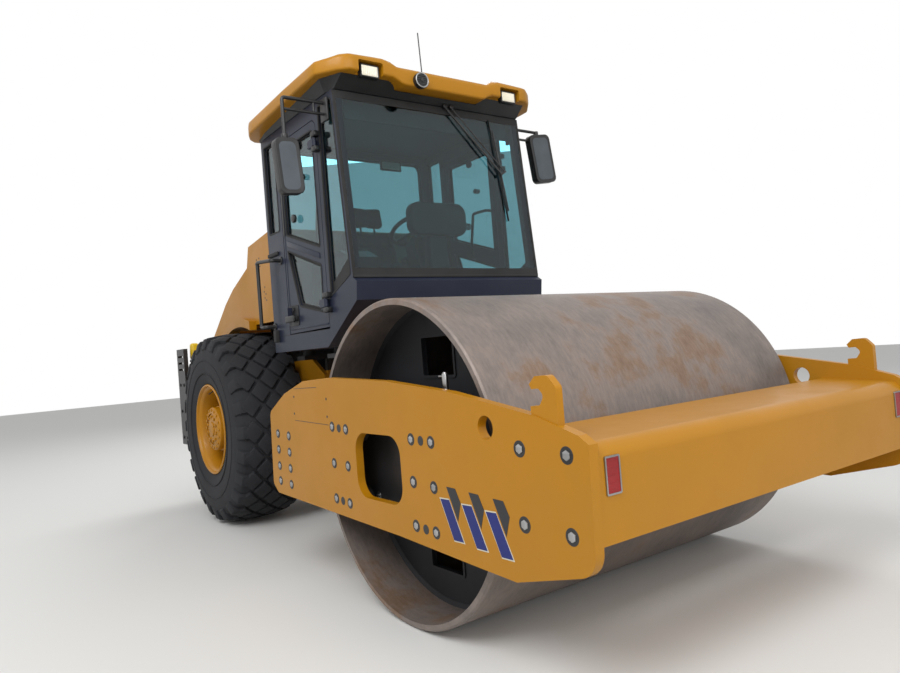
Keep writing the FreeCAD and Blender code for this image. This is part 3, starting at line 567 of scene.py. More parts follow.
# Wheels: welded rim with a rolled lip, dish plate and a planetary hub that reaches the lip
# section of the rim's barrel, closed: (across the machine, radius)
BARREL = [(-0.9900, 0.3670), (-0.9965, 0.3620), (-0.9975, 0.3540), (-0.9900, 0.3480), (-0.9780, 0.3430),
          (-0.9700, 0.3300), (-0.9550, 0.3200), (-0.9000, 0.3160), (-0.8700, 0.3060), (-0.5400, 0.3060),
          (-0.4850, 0.3200), (-0.4620, 0.3430), (-0.4450, 0.3560), (-0.4440, 0.3640), (-0.4520, 0.3660),
          (-0.4700, 0.3500), (-0.4850, 0.3320), (-0.9550, 0.3320), (-0.9720, 0.3500)]
HUB_FACE = -0.968


def wheel():
    hub = disc("hub", (0, (HUB_FACE - 0.752) / 2, 0), "y", 0.176, -HUB_FACE - 0.752, 64)
    rounded(hub, 0.010, 3, corner)
    pick(hub, facing((0, -1, 0)))
    bpy.ops.mesh.inset(thickness=0.045)
    bpy.ops.mesh.inset(thickness=0.006, depth=0.010)
    leave()
    parts = [ring_of(BARREL, 96, "barrel"), hub,
             ring_of([(-0.750, 0.309), (-0.775, 0.309), (-0.775, 0.175), (-0.750, 0.175)], 96, "dish"),
             ring_of([(-0.774, 0.175), (-0.774, 0.212), (-0.800, 0.212), (-0.806, 0.206), (-0.806, 0.175)],
                     64, "step")]
    for y in (-0.850, -0.905):
        parts.append(ring_of([(y - 0.012, 0.175), (y - 0.010, 0.181), (y + 0.010, 0.181), (y + 0.012,
                0.175)], 64, "rib"))
    # (radius of the ring, face, bolt radius, height, how many)
    for ring, face, radius, height, count in ((0.153, HUB_FACE + 0.001, 0.0115, 0.011, 16),
                                              (0.100, HUB_FACE - 0.009, 0.0105, 0.009, 10),
                                              (0.252, -0.774, 0.0170, 0.026, 12), (0.194, -0.805, 0.0080,
                                                      0.008, 20)):
        head = bolt("bolt", radius, height, face)
        head.data.transform(Matrix.Translation((0, 0, ring)))
        parts.append(repeated(head, "bolts", round_axis((0, 0, 0), "Y", count)))
    plug = disc("plug", (0.050, HUB_FACE - 0.014, 0.030), "y", 0.015, 0.012, 6)
    parts.append(rounded(plug, 0.002, 2))
    cap = disc("cap", (0, HUB_FACE - 0.012, 0), "y", 0.058, 0.012, 48)
    parts.append(rounded(cap, 0.004, 2, corner))
    whole = joined(parts, "planetary_wheel_right")
    whole.data.transform(Matrix.Translation((WHEEL_X, 0, TYRE_R)))
    return whole


for piece, side in zip(both_sides(wheel(), "wheel_rim_right", "yellow_paint"), ("right", "left")):
    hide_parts("wheel_rim_" + side)
valve = pipe("valve", bends([(WHEEL_X, -0.935, TYRE_R + 0.318), (WHEEL_X, -0.955, TYRE_R + 0.300),
                             (WHEEL_X, -0.985, TYRE_R + 0.285)], 0.006), 0.0045, 3, 3)
both_sides(joined([valve], "tyre_valve_right"), "wheel_rim_right", "black_rubber")

# Drum's inner side: rims of the ports, bolt circles and a grey ball valve with its bracket
PORT_FACE = -0.8055


def port_frames():
    # raised lip round each of the four openings in the web
    corners = [(-0.117, 0.369), (-0.117, 0.584), (0.167, 0.584), (0.167, 0.369)]
    lip = border("lip", [(x, z) for x, z in corners], "y", PORT_FACE - 0.006, 0.014, 0.010, 0.020)
    return repeated(lip, "port_lips_right", round_axis((0, 0, 0), "Y", 4))


lips = port_frames()
lips.data.transform(Matrix.Translation((DRUM_X, 0, 0.7615)))
both_sides(lips, "drum_webs", "drum_inner")
weld = ring_of([(PORT_FACE - 0.001, 0.712), (PORT_FACE - 0.016, 0.7325), (PORT_FACE, 0.7325)], 96, "weld")
web_bolt = bolt("bolt", 0.014, 0.012, PORT_FACE)
web_bolt.data.transform(Matrix.Translation((0, 0, 0.225)))
web_bolts = repeated(web_bolt, "bolts", round_axis((0, 0, 0), "Y", 12, 0.26))
fittings = joined([weld, web_bolts], "web_fittings_right")
fittings.data.transform(Matrix.Translation((DRUM_X, 0, 0.7615)))
both_sides(fittings, "drum_webs", "drum_inner")
carrier_bolts = repeated(bolt("bolt", 0.016, 0.012, -1.0095), "carrier_bolts_right",
                         at_places([(DRUM_X + x, 0, z) for x in (-0.29, 0.24) for z in (0.560, 0.890)]))
both_sides(carrier_bolts, "drum_carriers", "bare_steel")

# Ball valve on a flat bracket that looks over the side plate's top edge
TAP = Vector((DRUM_X + 0.416, -1.050, 1.122))
tap = [rounded(disc("body", TAP, "z", 0.013, 0.090, 24), 0.003, 2, corner),
       rounded(disc("nut", TAP - Vector((0, 0, 0.03)), "z", 0.019, 0.020, 6), 0.003, 2),
       rounded(block("lever", TAP + Vector((-0.042, -0.007, 0.028)), TAP + Vector((0.012, 0.007, 0.036))),
               0.003, 2),
       rounded(disc("knob", TAP + Vector((0, 0, 0.043)), "z", 0.009, 0.014, 20), 0.003, 2, corner),
       rounded(block("bracket", (TAP.x - 0.020, -1.022, 0.900), (TAP.x + 0.020, -1.010, 1.085)), 0.003, 2),
       rounded(block("arm", (TAP.x - 0.020, -1.066, 1.070), (TAP.x + 0.020, -1.010, 1.082)), 0.003, 2)]
both_sides(joined(tap, "water_valve_right"), "drum_carriers", "bare_steel")

# Dark strips painted as the shadow lines along the edges of the cover welded to each side plate, reflector
# frames, scraper bolts
seam_shadow_strips = []
for a, b in (((-0.925, 1.114), (-0.630, 1.121)), ((-0.936, 0.936), (-0.515, 0.926))):
    seam_shadow_strips.append(slab("seam", [(DRUM_X + a[0], a[1]), (DRUM_X + b[0], b[1]), (DRUM_X + b[0], b[1] - 0.003),
                               (DRUM_X + a[0], a[1] - 0.003)], "y", -PLATE_OUT - 0.0004,
                      -PLATE_OUT + 0.002))
both_sides(joined(seam_shadow_strips, "plate_seams_right"), "frame_plate_right", "black_metal")
rim_ = border("reflector_frame_right", [(-1.079, 0.760), (-1.079, 0.886), (-1.008, 0.886), (-1.008, 0.760)],
              "x",
              2.925, 0.006, 0.006, 0.006)
both_sides(rim_, "front_beam", "bare_steel")
grid = []
for k in range(5):
    grid.append(block("rib", (2.9285, -1.0745, 0.775 + k * 0.024), (2.9300, -1.0125, 0.778 + k * 0.024)))
both_sides(joined([rounded(g, 0.0005, 1) for g in grid], "reflector_ribs_right"), "reflectors", "red_lens")
SCRAPER_X = DRUM_X + 0.7615
heads = []
for y in (-0.900, -0.330, 0.040, 0.560):
    for dx in (0.075, 0.125):
        head = disc("head", (SCRAPER_X + dx, y, 0.540), "z", 0.014, 0.012, 6)
        heads.append(rounded(head, 0.002, 2))
settled(joined(heads, "scraper_bolts"), "scraper_front", "yellow_paint")

# Pivot: cover with a ring of bolts and a grease nipple on the upper fork plate
PIVOT_X = (DRUM_X + WHEEL_X) / 2
FORK_TOP = 0.945
cover = disc("cover", (PIVOT_X, 0, FORK_TOP + 0.008), "z", 0.078, 0.018, 48)
rounded(cover, 0.004, 2, corner)
parts = [cover]
screw = rounded(disc("screw", (PIVOT_X + 0.060, 0, FORK_TOP + 0.020), "z", 0.008, 0.009, 6), 0.001, 2)
parts.append(repeated(screw, "screws", round_axis((PIVOT_X, 0, 0), "Z", 8)))
parts.append(rounded(disc("nipple", (PIVOT_X, 0, FORK_TOP + 0.024), "z", 0.007, 0.020, 20), 0.002, 2,
                     corner))
settled(joined(parts, "pivot_cover"), "fork_upper", "black_metal")

# Hood: edge seal towards the cab, black discs as painted shade in the vent holes, latches, louvre lips and
# a lock on the tail
HOOD_HALF = 0.640
HOOD_FRONT = WHEEL_X + 0.770
seal = block("hood_edge_seal_right", (HOOD_FRONT - 0.004, -HOOD_HALF + 0.001, 1.592),
             (HOOD_FRONT + 0.020, -HOOD_HALF + 0.030, 2.258))
both_sides(rounded(seal, 0.006, 2), "hood_side_right", "black_rubber")
VENTS = [(-1.020, 2.105), (-1.045, 2.075), (-1.000, 2.050), (-0.965, 2.110), (-0.935, 2.085), (-0.955,
        2.045),
         (-1.030, 1.880), (-0.885, 1.870), (-0.905, 1.835), (-0.870, 1.815), (-0.895, 1.785), (-0.865,
                 1.765)]
# black discs on the vent holes: painted shade inside the holes
vent = disc("vent", (0, -HOOD_HALF, 0), "y", 0.008, 0.0024, 16)
vent_shade_discs = repeated(rounded(vent, 0.0006, 1, corner), "hood_vents_right",
                 at_places([(x, 0, z) for x, z in VENTS]))
both_sides(vent_shade_discs, "hood_side_right", "black_metal")
latch = [rounded(block("plate", (-0.700, -HOOD_HALF - 0.006, 1.655), (-0.655, -HOOD_HALF + 0.002, 1.735)),
                 0.004, 2),
         rounded(block("lever", (-0.690, -HOOD_HALF - 0.016, 1.672), (-0.665, -HOOD_HALF - 0.004, 1.722)),
                 0.004, 2)]
both_sides(joined(latch, "hood_latch_right"), "hood_side_right", "black_metal")
TAIL_SLOPE = math.atan2(0.360, 0.530)
lips = []
for k in range(8):
    x = WHEEL_X - 0.505 - k * 0.060
    lip = block("lip", (-0.014, -0.436, -0.004), (0.006, 0.436, 0.015))
    pick(lip, lambda edge: min(v.co.z for v in edge.verts) > 0.01 and max(v.co.x for v in edge.verts) < 0,
         "EDGE")
    bpy.ops.mesh.bevel(offset=0.008, segments=3, affect="EDGES")
    leave()
    rounded(lip, 0.0015, 1, corner)
    turn_piece(lip, (0, 0, 0), "Y", -math.degrees(TAIL_SLOPE))
    lip.data.transform(Matrix.Translation((x + 0.024, 0,
                                           1.820 + (x + 0.024 + 1.835) * math.tan(TAIL_SLOPE))))
    lips.append(lip)
settled(joined(lips, "tail_louvre_lips"), "hood", "yellow_paint")
lock = [rounded(disc("ring", (-2.679, 0, 1.318), "x", 0.026, 0.014, 32), 0.003, 2, corner),
        rounded(block("grip", (-2.694, -0.020, 1.311), (-2.684, 0.020, 1.325)), 0.003, 2)]
settled(joined(lock, "tail_lock"), "hood", "black_metal")

# Tail: rounded amber lamps on black feet, bolts on the guards and counterweight, a tow pin
LAMP_X = WHEEL_X - 1.385
lamp = block("tail_lamp_right", (LAMP_X - 0.080, -0.705, 1.365), (LAMP_X, -0.610, 1.530))
pick(lamp, lambda v: v.co.z > 1.5, "VERT")
bpy.ops.transform.resize(value=(0.86, 0.86, 1), center_override=(LAMP_X - 0.04, -0.6575, 1.53))
leave()
rounded(lamp, 0.026, 5)
for k, piece in enumerate(both_sides(lamp, "tail_lamps", "yellow_plastic", smooth=60)):
    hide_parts("tail_lamps")
feet = [rounded(block("base", (LAMP_X - 0.078, -0.703, 1.340), (LAMP_X - 0.002, -0.612, 1.368)), 0.006, 3),
        rounded(block("foot", (LAMP_X - 0.060, -0.690, 1.140), (LAMP_X - 0.020, -0.630, 1.345)), 0.005, 3),
        rounded(block("flange", (LAMP_X - 0.075, -0.700, 1.140), (LAMP_X - 0.005, -0.620, 1.150)), 0.003,
                2)]
both_sides(joined(feet, "tail_lamp_foot_right"), "tail_lamps", "black_metal")
REAR_X = WHEEL_X - 1.550
guard_bolts = repeated(bolt("bolt", 0.014, 0.011, -0.799), "guard_bolts_right",
                       at_places([(REAR_X + x, 0, z) for x in (0.060, 0.180) for z in (0.600, 0.860,
                               1.120)]))
both_sides(guard_bolts, "rear_guard_right", "black_metal")
rear_bolt = disc("bolt", (REAR_X - 0.006, 0, 0), "x", 0.018, 0.016, 6)
rounded(rear_bolt, 0.002, 2)
rear_bolts = repeated(rear_bolt, "rear_bolts", at_places([(0, y, z) for y in (-0.60, -0.20, 0.20, 0.60)
                                                         for z in (0.720, 1.060)]))
settled(rear_bolts, "counterweight", "bare_steel")
tow = [rounded(block("cheek", (REAR_X - 0.030, -0.075, 0.800 + k * 0.110), (REAR_X + 0.010, 0.075,
        0.825 + k * 0.110)),
               0.006, 3) for k in range(2)]
tow.append(rounded(disc("pin", (REAR_X - 0.010, 0, 0.868), "z", 0.014, 0.190, 24), 0.003, 2, corner))
settled(joined(tow, "tow_pin"), "counterweight", "black_metal")

# Engine dressing, seen with the hood up: ribbed cover, filter, silencer, radiator, belt
ENGINE_TOP = 1.670
dress = []
for k in range(4):
    x = -1.640 + k * 0.155
    lid = block("lid", (x, -0.110, ENGINE_TOP - 0.002), (x + 0.130, 0.110, ENGINE_TOP + 0.055))
    dress.append(rounded(lid, 0.018, 4))
    for y in (-0.06, 0.06):
        dress.append(rounded(disc("stud", (x + 0.065, y, ENGINE_TOP + 0.058), "z", 0.010, 0.014, 6), 0.001,
                             2))
settled(joined(dress, "rocker_covers"), "engine", "black_metal")
can = disc("can", (-1.210, -0.190, ENGINE_TOP + 0.105), "x", 0.100, 0.330, 48)
rounded(can, 0.014, 3, corner)
rings = [ring_of([(y - 0.006, 0.098), (y, 0.104), (y + 0.006, 0.098)], 48, "rib") for y in (-0.10, 0.0,
        0.10)]
for ring in rings:
    turn_piece(ring, (0, 0, 0), "Z", 90)
    ring.data.transform(Matrix.Translation((-1.210, -0.190, ENGINE_TOP + 0.105)))
straps = [rounded(block("strap", (x, -0.235, ENGINE_TOP - 0.002), (x + 0.030, -0.145, ENGINE_TOP + 0.030)),
                  0.004, 2)
          for x in (-1.33, -1.12)]
inlet = pipe("inlet", bends([(-1.372, -0.190, ENGINE_TOP + 0.105), (-1.50, -0.190, ENGINE_TOP + 0.105),
                             (-1.50, -0.200, ENGINE_TOP - 0.15)], 0.07), 0.042, 6, 3)
settled(joined([can] + rings + straps + [inlet], "air_filter"), "engine", "dark_plastic")
silencer = disc("silencer", (-1.260, 0.190, ENGINE_TOP + 0.095), "x", 0.088, 0.460, 48)
rounded(silencer, 0.020, 4, corner)
feet = [rounded(block("foot", (x, 0.150, ENGINE_TOP - 0.002), (x + 0.030, 0.230, ENGINE_TOP + 0.030)),
                0.004, 2)
        for x in (-1.44, -1.10)]
stub = pipe("stub", bends([(-1.490, 0.190, ENGINE_TOP + 0.095), (-1.585, 0.190, ENGINE_TOP + 0.095),
                           (-1.585, 0.230, ENGINE_TOP - 0.10)], 0.05), 0.030, 5, 3)
settled(joined([silencer, stub] + feet, "exhaust_silencer"), "engine", "bare_steel")
core = block("core", (-2.110, -0.270, 1.349), (-2.030, 0.270, 1.560))
rounded(core, 0.010, 3)
fins = [block("fin", (-2.026, -0.250, 1.372 + k * 0.0155), (-2.020, 0.250,
                                                            1.377 + k * 0.0155)) for k in range(12)]
tanks = [rounded(block("tank", (-2.118, -0.275, z), (-2.016, 0.275, z + 0.022)), 0.008, 3) for z in (1.350,
        1.545)]
settled(joined([core] + [rounded(f, 0.001, 1) for f in fins] + tanks, "radiator"), "engine", "black_metal")
pulleys = []
for y, z, radius in ((0.0, 1.150, 0.095), (0.150, 1.290, 0.060), (-0.130, 1.300, 0.055)):
    pulley = disc("pulley", (-2.165, y, z), "x", radius, 0.034, 40)
    rounded(pulley, 0.004, 2, corner)
    inset_face(pulley, facing((-1, 0, 0)), radius * 0.25, -0.010)
    pulleys.append(pulley)
settled(joined(pulleys, "belt_pulleys"), "engine", "bare_steel")
belt = pipe("belt", [(-2.165, -0.185, 1.300), (-2.165, -0.130, 1.357), (-2.165, 0.150, 1.352), (-2.165,
        0.212, 1.290),
                     (-2.165, 0.095, 1.140), (-2.165, 0.0, 1.052), (-2.165, -0.090, 1.130), (-2.165, -0.185,
                             1.300)],
            0.007, 3)
settled(joined([belt], "fan_belt"), "engine", "black_rubber")
drips = []
for k in range(3):
    x = -1.95 + k * 0.30
    drips.append(rounded(disc("plug", (x, -0.303, 1.20), "y", 0.030, 0.014, 6), 0.003, 2))
    drips.append(rounded(disc("plug", (x, 0.303, 1.20), "y", 0.030, 0.014, 6), 0.003, 2))
settled(joined(drips, "core_plugs"), "engine", "bare_steel")

# Rubber seals and dark borders round the glass
SLOPE = 0.0807                # windscreen: run back for each metre up
SCREEN_X = CAB_X + 1.254 + 0.008
SILL_Z = 1.735
DOOR_X0 = CAB_X + 0.280


def grown(corners, by):
    # the outline with each corner moved out from the middle
    cx = sum(c[0] for c in corners) / len(corners)
    cz = sum(c[1] for c in corners) / len(corners)
    return [(u + math.copysign(by, u - cx), w + math.copysign(by, w - cz)) for u, w in corners]


UPPER_WINDOW = [(DOOR_X0 + u, w) for u, w in ((0.060, 2.150), (0.060, 2.740), (0.568, 2.740),
                                              (0.568, 1.985))]
LOWER_WINDOW = [(DOOR_X0 + u, w) for u, w in ((0.060, 2.040), (0.568, 1.870), (0.550, 1.570),
                                              (0.200, 1.640))]
FRONT_QUARTER = [(CAB_X + u, w) for u, w in ((0.955, 1.655), (0.955, 2.855), (1.138, 2.855),
                                             (1.227, 1.765))]
REAR_QUARTER = [(CAB_X + u, w) for u, w in ((0.045, 2.200), (0.045, 2.840), (0.230, 2.840), (0.230, 2.200))]
for name, corners, node, edge_width in (("upper_window", UPPER_WINDOW, "door_right", 0.014),
                                        ("lower_window", LOWER_WINDOW, "door_right", 0.022),
                                        ("front_quarter", FRONT_QUARTER, "cab_wall_right", 0.018),
                                        ("rear_quarter", REAR_QUARTER, "cab_wall_right", 0.014)):
    seal = border(name + "_seal_right", grown(corners, 0.006), "y", -CAB_HALF - 0.003, 0.011, 0.012, 0.022)
    both_sides(rounded(seal, 0.0015, 1, corner), node, "black_rubber")
    edge = border(name + "_edge_right", grown(corners, -0.001), "y", -CAB_HALF + 0.0170, edge_width, 0.0006,
                  0.020)
    both_sides(edge, node, "black_rubber")
band = slab("quarter_band_right", [(CAB_X + 0.958, 1.660), (CAB_X + 0.958, 1.735), (CAB_X + 1.212, 1.880),
                                   (CAB_X + 1.222, 1.770)], "y", -CAB_HALF + 0.0168, -CAB_HALF + 0.0176)
both_sides(band, "cab_wall_right", "black_rubber")


def sloped(piece):
    # leans a piece made at x = 0 back along the windscreen's face
    for point in piece.data.vertices:
        point.co.x += SCREEN_X - (point.co.z - SILL_Z) * SLOPE
    return piece


SCREEN = [(-0.739, 1.745), (-0.739, 2.895), (0.739, 2.895), (0.739, 1.745)]
frit = [sloped(border("frit", SCREEN, "x", 0.0004, 0.013, 0.0008, 0.012)),
        sloped(block("foot", (0.0004, -0.728, 1.757), (0.0011, 0.728, 1.794))),
        sloped(block("top", (0.0004, -0.728, 2.846), (0.0011, 0.728, 2.884)))]
settled(joined(frit, "windscreen_border"), "windscreen_frame", "black_rubber")
foot = block("foot_trim", (-0.006, -0.742, 1.735), (0.005, 0.742, 1.752))
settled(sloped(rounded(foot, 0.003, 2)), "windscreen_frame", "black_rubber")
for y in (-1, 1):
    trim = block("trim", (-0.010, y * 0.741 - 0.004, 1.745), (0.002, y * 0.741 + 0.004, 2.895))
    settled(joined([sloped(rounded(trim, 0.002, 2))], "screen_trim_" + ("right" if y < 0 else "left")),
            "windscreen_frame", "black_rubber")
rear_seal = border("rear_window_seal", [(-0.648, 1.992), (-0.648, 2.848), (0.648, 2.848), (0.648, 1.992)],
                   "x",
                   CAB_X - 0.004, 0.018, 0.014, 0.065)
settled(rounded(rear_seal, 0.0015, 1, corner), "cab_wall_rear", "black_rubber")

# Sun blind behind the top of the windscreen, and an inner lamp on the rear wall
blind = block("sun_blind", (-0.052, -0.66, 2.735), (-0.040, 0.66, 2.862))
settled(sloped(rounded(blind, 0.004, 2)), "windscreen_frame", "dark_plastic")
lamp = rounded(block("cab_lamp", (-0.448, 0.25, 2.775), (-0.425, 0.42, 2.835)), 0.010, 3)
settled(lamp, "cab_wall_rear", "lamp_lens")
lamp_case = rounded(block("cab_lamp_case", (-0.450, 0.235, 2.762), (-0.436, 0.435, 2.848)), 0.006, 3)
settled(lamp_case, "cab_wall_rear", "dark_plastic")

# Wiper: motor boss, two parallel arms and a long blade
def on_screen(y, z, off):
    # point in front of the windscreen
    return (SCREEN_X - (z - SILL_Z) * SLOPE + off, y, z)


def bar_between(name, a, b, wide, thick):
    # flat bar from a to b, its flat side to the front
    a, b = Vector(a), Vector(b)
    run = b - a
    bar = block(name, (-thick / 2, -wide / 2, 0), (thick / 2, wide / 2, run.length))
    rounded(bar, min(wide, thick) * 0.3, 2)
    side = Vector((1, 0, 0)).cross(run).normalized()
    front = run.cross(side).normalized() * -1
    run.normalize()
    turn = Matrix((front, side, run)).transposed().to_4x4()
    bar.data.transform(Matrix.Translation(a) @ turn)
    return bar


wiper = [bar_between("arm", on_screen(0.086, 2.895, 0.022), on_screen(0.500, 2.460, 0.034), 0.014, 0.007),
         bar_between("arm", on_screen(0.139, 2.895, 0.022), on_screen(0.530, 2.480, 0.034), 0.009, 0.006),
         bar_between("link", on_screen(0.490, 2.455, 0.034), on_screen(0.540, 2.485, 0.034), 0.016, 0.010),
         bar_between("carrier", on_screen(0.478, 2.780, 0.020), on_screen(0.529, 2.200, 0.020), 0.011,
                     0.010),
         bar_between("blade", on_screen(0.463, 2.855, 0.008), on_screen(0.529, 2.131, 0.008), 0.006, 0.014)]
for y in (0.086, 0.139):
    wiper.append(rounded(disc("boss", on_screen(y, 2.900, 0.014), "x", 0.017, 0.030, 24), 0.004, 2, corner))
settled(joined(wiper, "wiper"), "windscreen_frame", "black_metal")

# Doors: glass hinges, latch, pull handle, ridges, rubber stops and caps on the hinges
hardware = []
for x, z in ((0.070, 2.722), (0.001, 2.236)):
    cap = disc("cap", (x, -CAB_HALF - 0.006, z), "y", 0.028, 0.022, 28)
    hardware.append(rounded(cap, 0.005, 3, corner))
knob = disc("knob", (0.152, -CAB_HALF + 0.004, 2.487), "y", 0.019, 0.050, 24)
hardware.append(rounded(knob, 0.005, 3, corner))
hardware.append(rounded(block("strip", (-0.196, -CAB_HALF - 0.006, 2.146), (-0.172, -CAB_HALF, 2.463)),
                        0.003, 2))
plate = block("plate", (-0.205, -CAB_HALF - 0.005, 1.512), (-0.040, -CAB_HALF + 0.002, 1.652))
rounded(plate, 0.018, 4, along("y"))
inset_face(plate, facing((0, -1, 0)), 0.010, -0.003)
hardware.append(plate)
pull = block("pull", (-0.192, -CAB_HALF - 0.042, 1.536), (-0.050, -CAB_HALF - 0.022, 1.582))
hardware.append(rounded(pull, 0.008, 4))
hardware.append(rounded(block("root", (-0.082, -CAB_HALF - 0.030, 1.540), (-0.056, -CAB_HALF, 1.578)),
                        0.004, 2))
hardware.append(rounded(disc("lock", (-0.120, -CAB_HALF - 0.006, 1.622), "y", 0.013, 0.010, 24), 0.002, 2,
                        corner))
both_sides(joined(hardware, "door_hardware_right"), "door_right", "black_metal")
ridges = [slab("ridge", [(-0.150, 2.108), (0.345, 1.948), (0.345, 1.912), (-0.150, 2.072)], "y",
               -CAB_HALF - 0.005, -CAB_HALF + 0.001),
          block("ridge", (-0.195, -CAB_HALF - 0.004, 1.484), (0.395, -CAB_HALF + 0.001, 1.496)),
          slab("ridge", [(-0.190, 1.51), (-0.190, 2.76), (-0.180, 2.76), (-0.180, 1.51)], "y",
               -CAB_HALF - 0.003, -CAB_HALF + 0.001)]
both_sides(joined([rounded(r, 0.0022, 2) for r in ridges], "door_ridges_right"), "door_right", "cab_grey")
HINGE = (DOOR_X0 + 0.640, -CAB_HALF - 0.022)
caps = []
for z in (1.620, 2.640):
    for low, high in ((z - 0.064, z - 0.0295), (z + 0.0295, z + 0.064)):
        cap = block("cap", (HINGE[0] - 0.016, -CAB_HALF - 0.041, low), (HINGE[0] + 0.044, -CAB_HALF + 0.001,
                high))
        caps.append(rounded(cap, 0.008, 3))
both_sides(joined(caps, "hinge_caps_right"), "cab_wall_right", "black_metal")
stops = [rounded(block("stop", (-0.432, -CAB_HALF - 0.038, 1.412), (-0.398, -CAB_HALF + 0.001, 1.502)),
                 0.008, 3),
         rounded(block("strap", (-0.485, -CAB_HALF - 0.016, 2.034), (-0.310, -CAB_HALF + 0.001, 2.062)),
                 0.006, 3)]
both_sides(joined(stops, "door_stop_right"), "cab_wall_right", "black_rubber")

# Seam along the sill, where the cab's pressed sheets meet
sill = block("sill_seam_right", (CAB_X + 0.020, -CAB_HALF - 0.0010, 1.4535), (CAB_X + 0.895,
        -CAB_HALF + 0.001, 1.4560))
both_sides(sill, "cab_base", "black_rubber")


def bent_tube(name, points, radius, bend):
    return pipe(name, bends(points, bend), radius, 4, 3)


# Grab rails round the cab's rear corners, with their feet
RAIL_Y = -CAB_HALF - 0.075
rail = bent_tube("rail", [(CAB_X + 0.214, -CAB_HALF, 1.990), (CAB_X + 0.214, RAIL_Y, 1.990),
                          (CAB_X - 0.050, RAIL_Y, 2.012), (CAB_X - 0.050, RAIL_Y, 1.530),
                          (CAB_X + 0.025, RAIL_Y, 1.530), (CAB_X + 0.025, -CAB_HALF, 1.530)], 0.014, 0.04)
feet = [rounded(disc("foot", (x, -CAB_HALF - 0.004, z), "y", 0.028, 0.008, 24), 0.002, 2, corner)
        for x, z in ((CAB_X + 0.214, 1.990), (CAB_X + 0.025, 1.530))]
for piece in both_sides(joined([rail] + feet, "grab_rail_right"), "grab_rails", "black_metal"):
    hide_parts("grab_rails")

# Mirrors: ladder arms, moulded heads with a recessed back, silvered glass behind
MIRROR_X = CAB_X + 1.070


def mirror_arms(zs, y_end, head_top):
    y0 = CAB_HALF + 0.012
    x = MIRROR_X
    upper = bent_tube("upper", [(x, y0, zs[0]), (x, y_end, zs[0]), (x, y_end, head_top - 0.03)], 0.011,
                      0.04)
    lower = bent_tube("lower", [(x, y0, zs[1]), (x, y_end, zs[1])], 0.009, 0.03)
    strut = bent_tube("strut", [(x, y0 + 0.07, zs[0]), (x, y0 + 0.07, zs[1])], 0.007, 0.02)
    pad_ = rounded(block("bracket", (x - 0.045, CAB_HALF, zs[1] - 0.045), (x + 0.045, y0 + 0.006,
            zs[0] + 0.028)),
                   0.005, 3)
    clamp = rounded(disc("clamp", (x, y_end, head_top + 0.012), "z", 0.019, 0.034, 24), 0.004, 2, corner)
    return [upper, lower, strut, pad_, clamp]


def mirror_head(y0, y1, z0, z1):
    head = block("head", (MIRROR_X - 0.030, y0, z0), (MIRROR_X + 0.030, y1, z1))
    rounded(head, 0.040, 6, along("x"))
    inset_face(head, facing((-1, 0, 0)), 0.010, -0.006)
    inset_face(head, facing((1, 0, 0)), 0.022, -0.004)
    return rounded(head, 0.005, 3, lambda e: corner(e) and all(abs(abs(v.co.x - MIRROR_X) - 0.030) < 0.001
                                                               for v in e.verts))


def mirror_pane(name, x0, x1, y0, y1, z0, z1, margin):
    pane_ = block(name, (x0, y0 + margin, z0 + margin), (x1, y1 - margin, z1 - margin))
    return rounded(pane_, 0.034, 6, along("x"))


# rows: side, arm heights, arm's end, head across, head up, lean in degrees
for side, label, zs, y_end, head_y, head_z, lean in (
        (-1, "right", (2.840, 2.770), 1.030, (0.955, 1.110), (2.255, 2.590), -4.0),
        (1, "left", (2.860, 2.790), 1.020, (0.925, 1.130), (2.475, 2.840), 8.0)):
    hinge = (MIRROR_X, y_end, head_z[1])
    head = mirror_head(*head_y, *head_z)
    glass = mirror_pane("mirror_glass_" + label, MIRROR_X - 0.0265, MIRROR_X - 0.0235, *head_y, *head_z,
                        0.011)
    back = mirror_pane("mirror_back_" + label, MIRROR_X + 0.0255, MIRROR_X + 0.0275, *head_y, *head_z,
                       0.024)
    for piece in (head, glass, back):
        turn_piece(piece, hinge, "X", lean)
    whole = joined(mirror_arms(zs, y_end, head_z[1]) + [head], "mirror_" + label)
    for piece, finish, slot in ((whole, None, "black_metal"), (glass, SILVERED, "bare_steel"),
                                (back, BACK_GREY, "dark_plastic")):
        if side < 0:
            piece.data.transform(Matrix.Scale(-1, 4, (0, 1, 0)))
            piece.data.flip_normals()
        settled(piece, "mirrors", slot, finish)
    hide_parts("mirrors")

# Grab handles inside the doors
handle = bent_tube("handle", [(0.346, -0.699, 2.293), (0.346, -0.655, 2.293), (0.190, -0.655, 2.297),
                              (0.120, -0.655, 1.960), (0.120, -0.699, 1.960)], 0.011, 0.04)
both_sides(joined([handle], "inner_handle_right"), "door_right", "black_metal")

# Roof: moulded cap with a soft edge band, a ridge along each side and a lower brow in the middle
ROOF_FRONT = CAB_X + 1.330
ROOF_BACK = CAB_X - 0.070
# half widths along the roof, lengthwise heights of the slab and of the ridge: (x, value)
ROOF_HALF = [(ROOF_BACK, 0.765), (ROOF_BACK + 0.030, 0.810), (CAB_X + 0.080, 0.868), (CAB_X + 0.700, 0.868),
             (CAB_X + 1.170, 0.858), (ROOF_FRONT - 0.045, 0.766), (ROOF_FRONT, 0.700)]
SLAB_TOP = [(ROOF_BACK, 2.998), (ROOF_BACK + 0.050, 3.007), (ROOF_FRONT - 0.050, 3.055), (ROOF_FRONT,
        3.038)]
SLAB_LOW = [(ROOF_BACK, 2.912), (ROOF_FRONT, 2.970)]
RIDGE_RUN = [(ROOF_FRONT - 1.250, 3.015), (ROOF_FRONT - 1.000, 3.060), (ROOF_FRONT - 0.130, 3.094),
             (ROOF_FRONT - 0.045, 3.090), (ROOF_FRONT, 3.070)]
# heights across the roof: (distance from the middle, value)
RIDGE_ACROSS = [(0.372, 3.030), (0.425, 3.095), (0.760, 3.067), (0.805, 3.035), (0.860, 3.000)]
BROW_ACROSS = [(0.330, 2.933), (0.376, 2.975)]


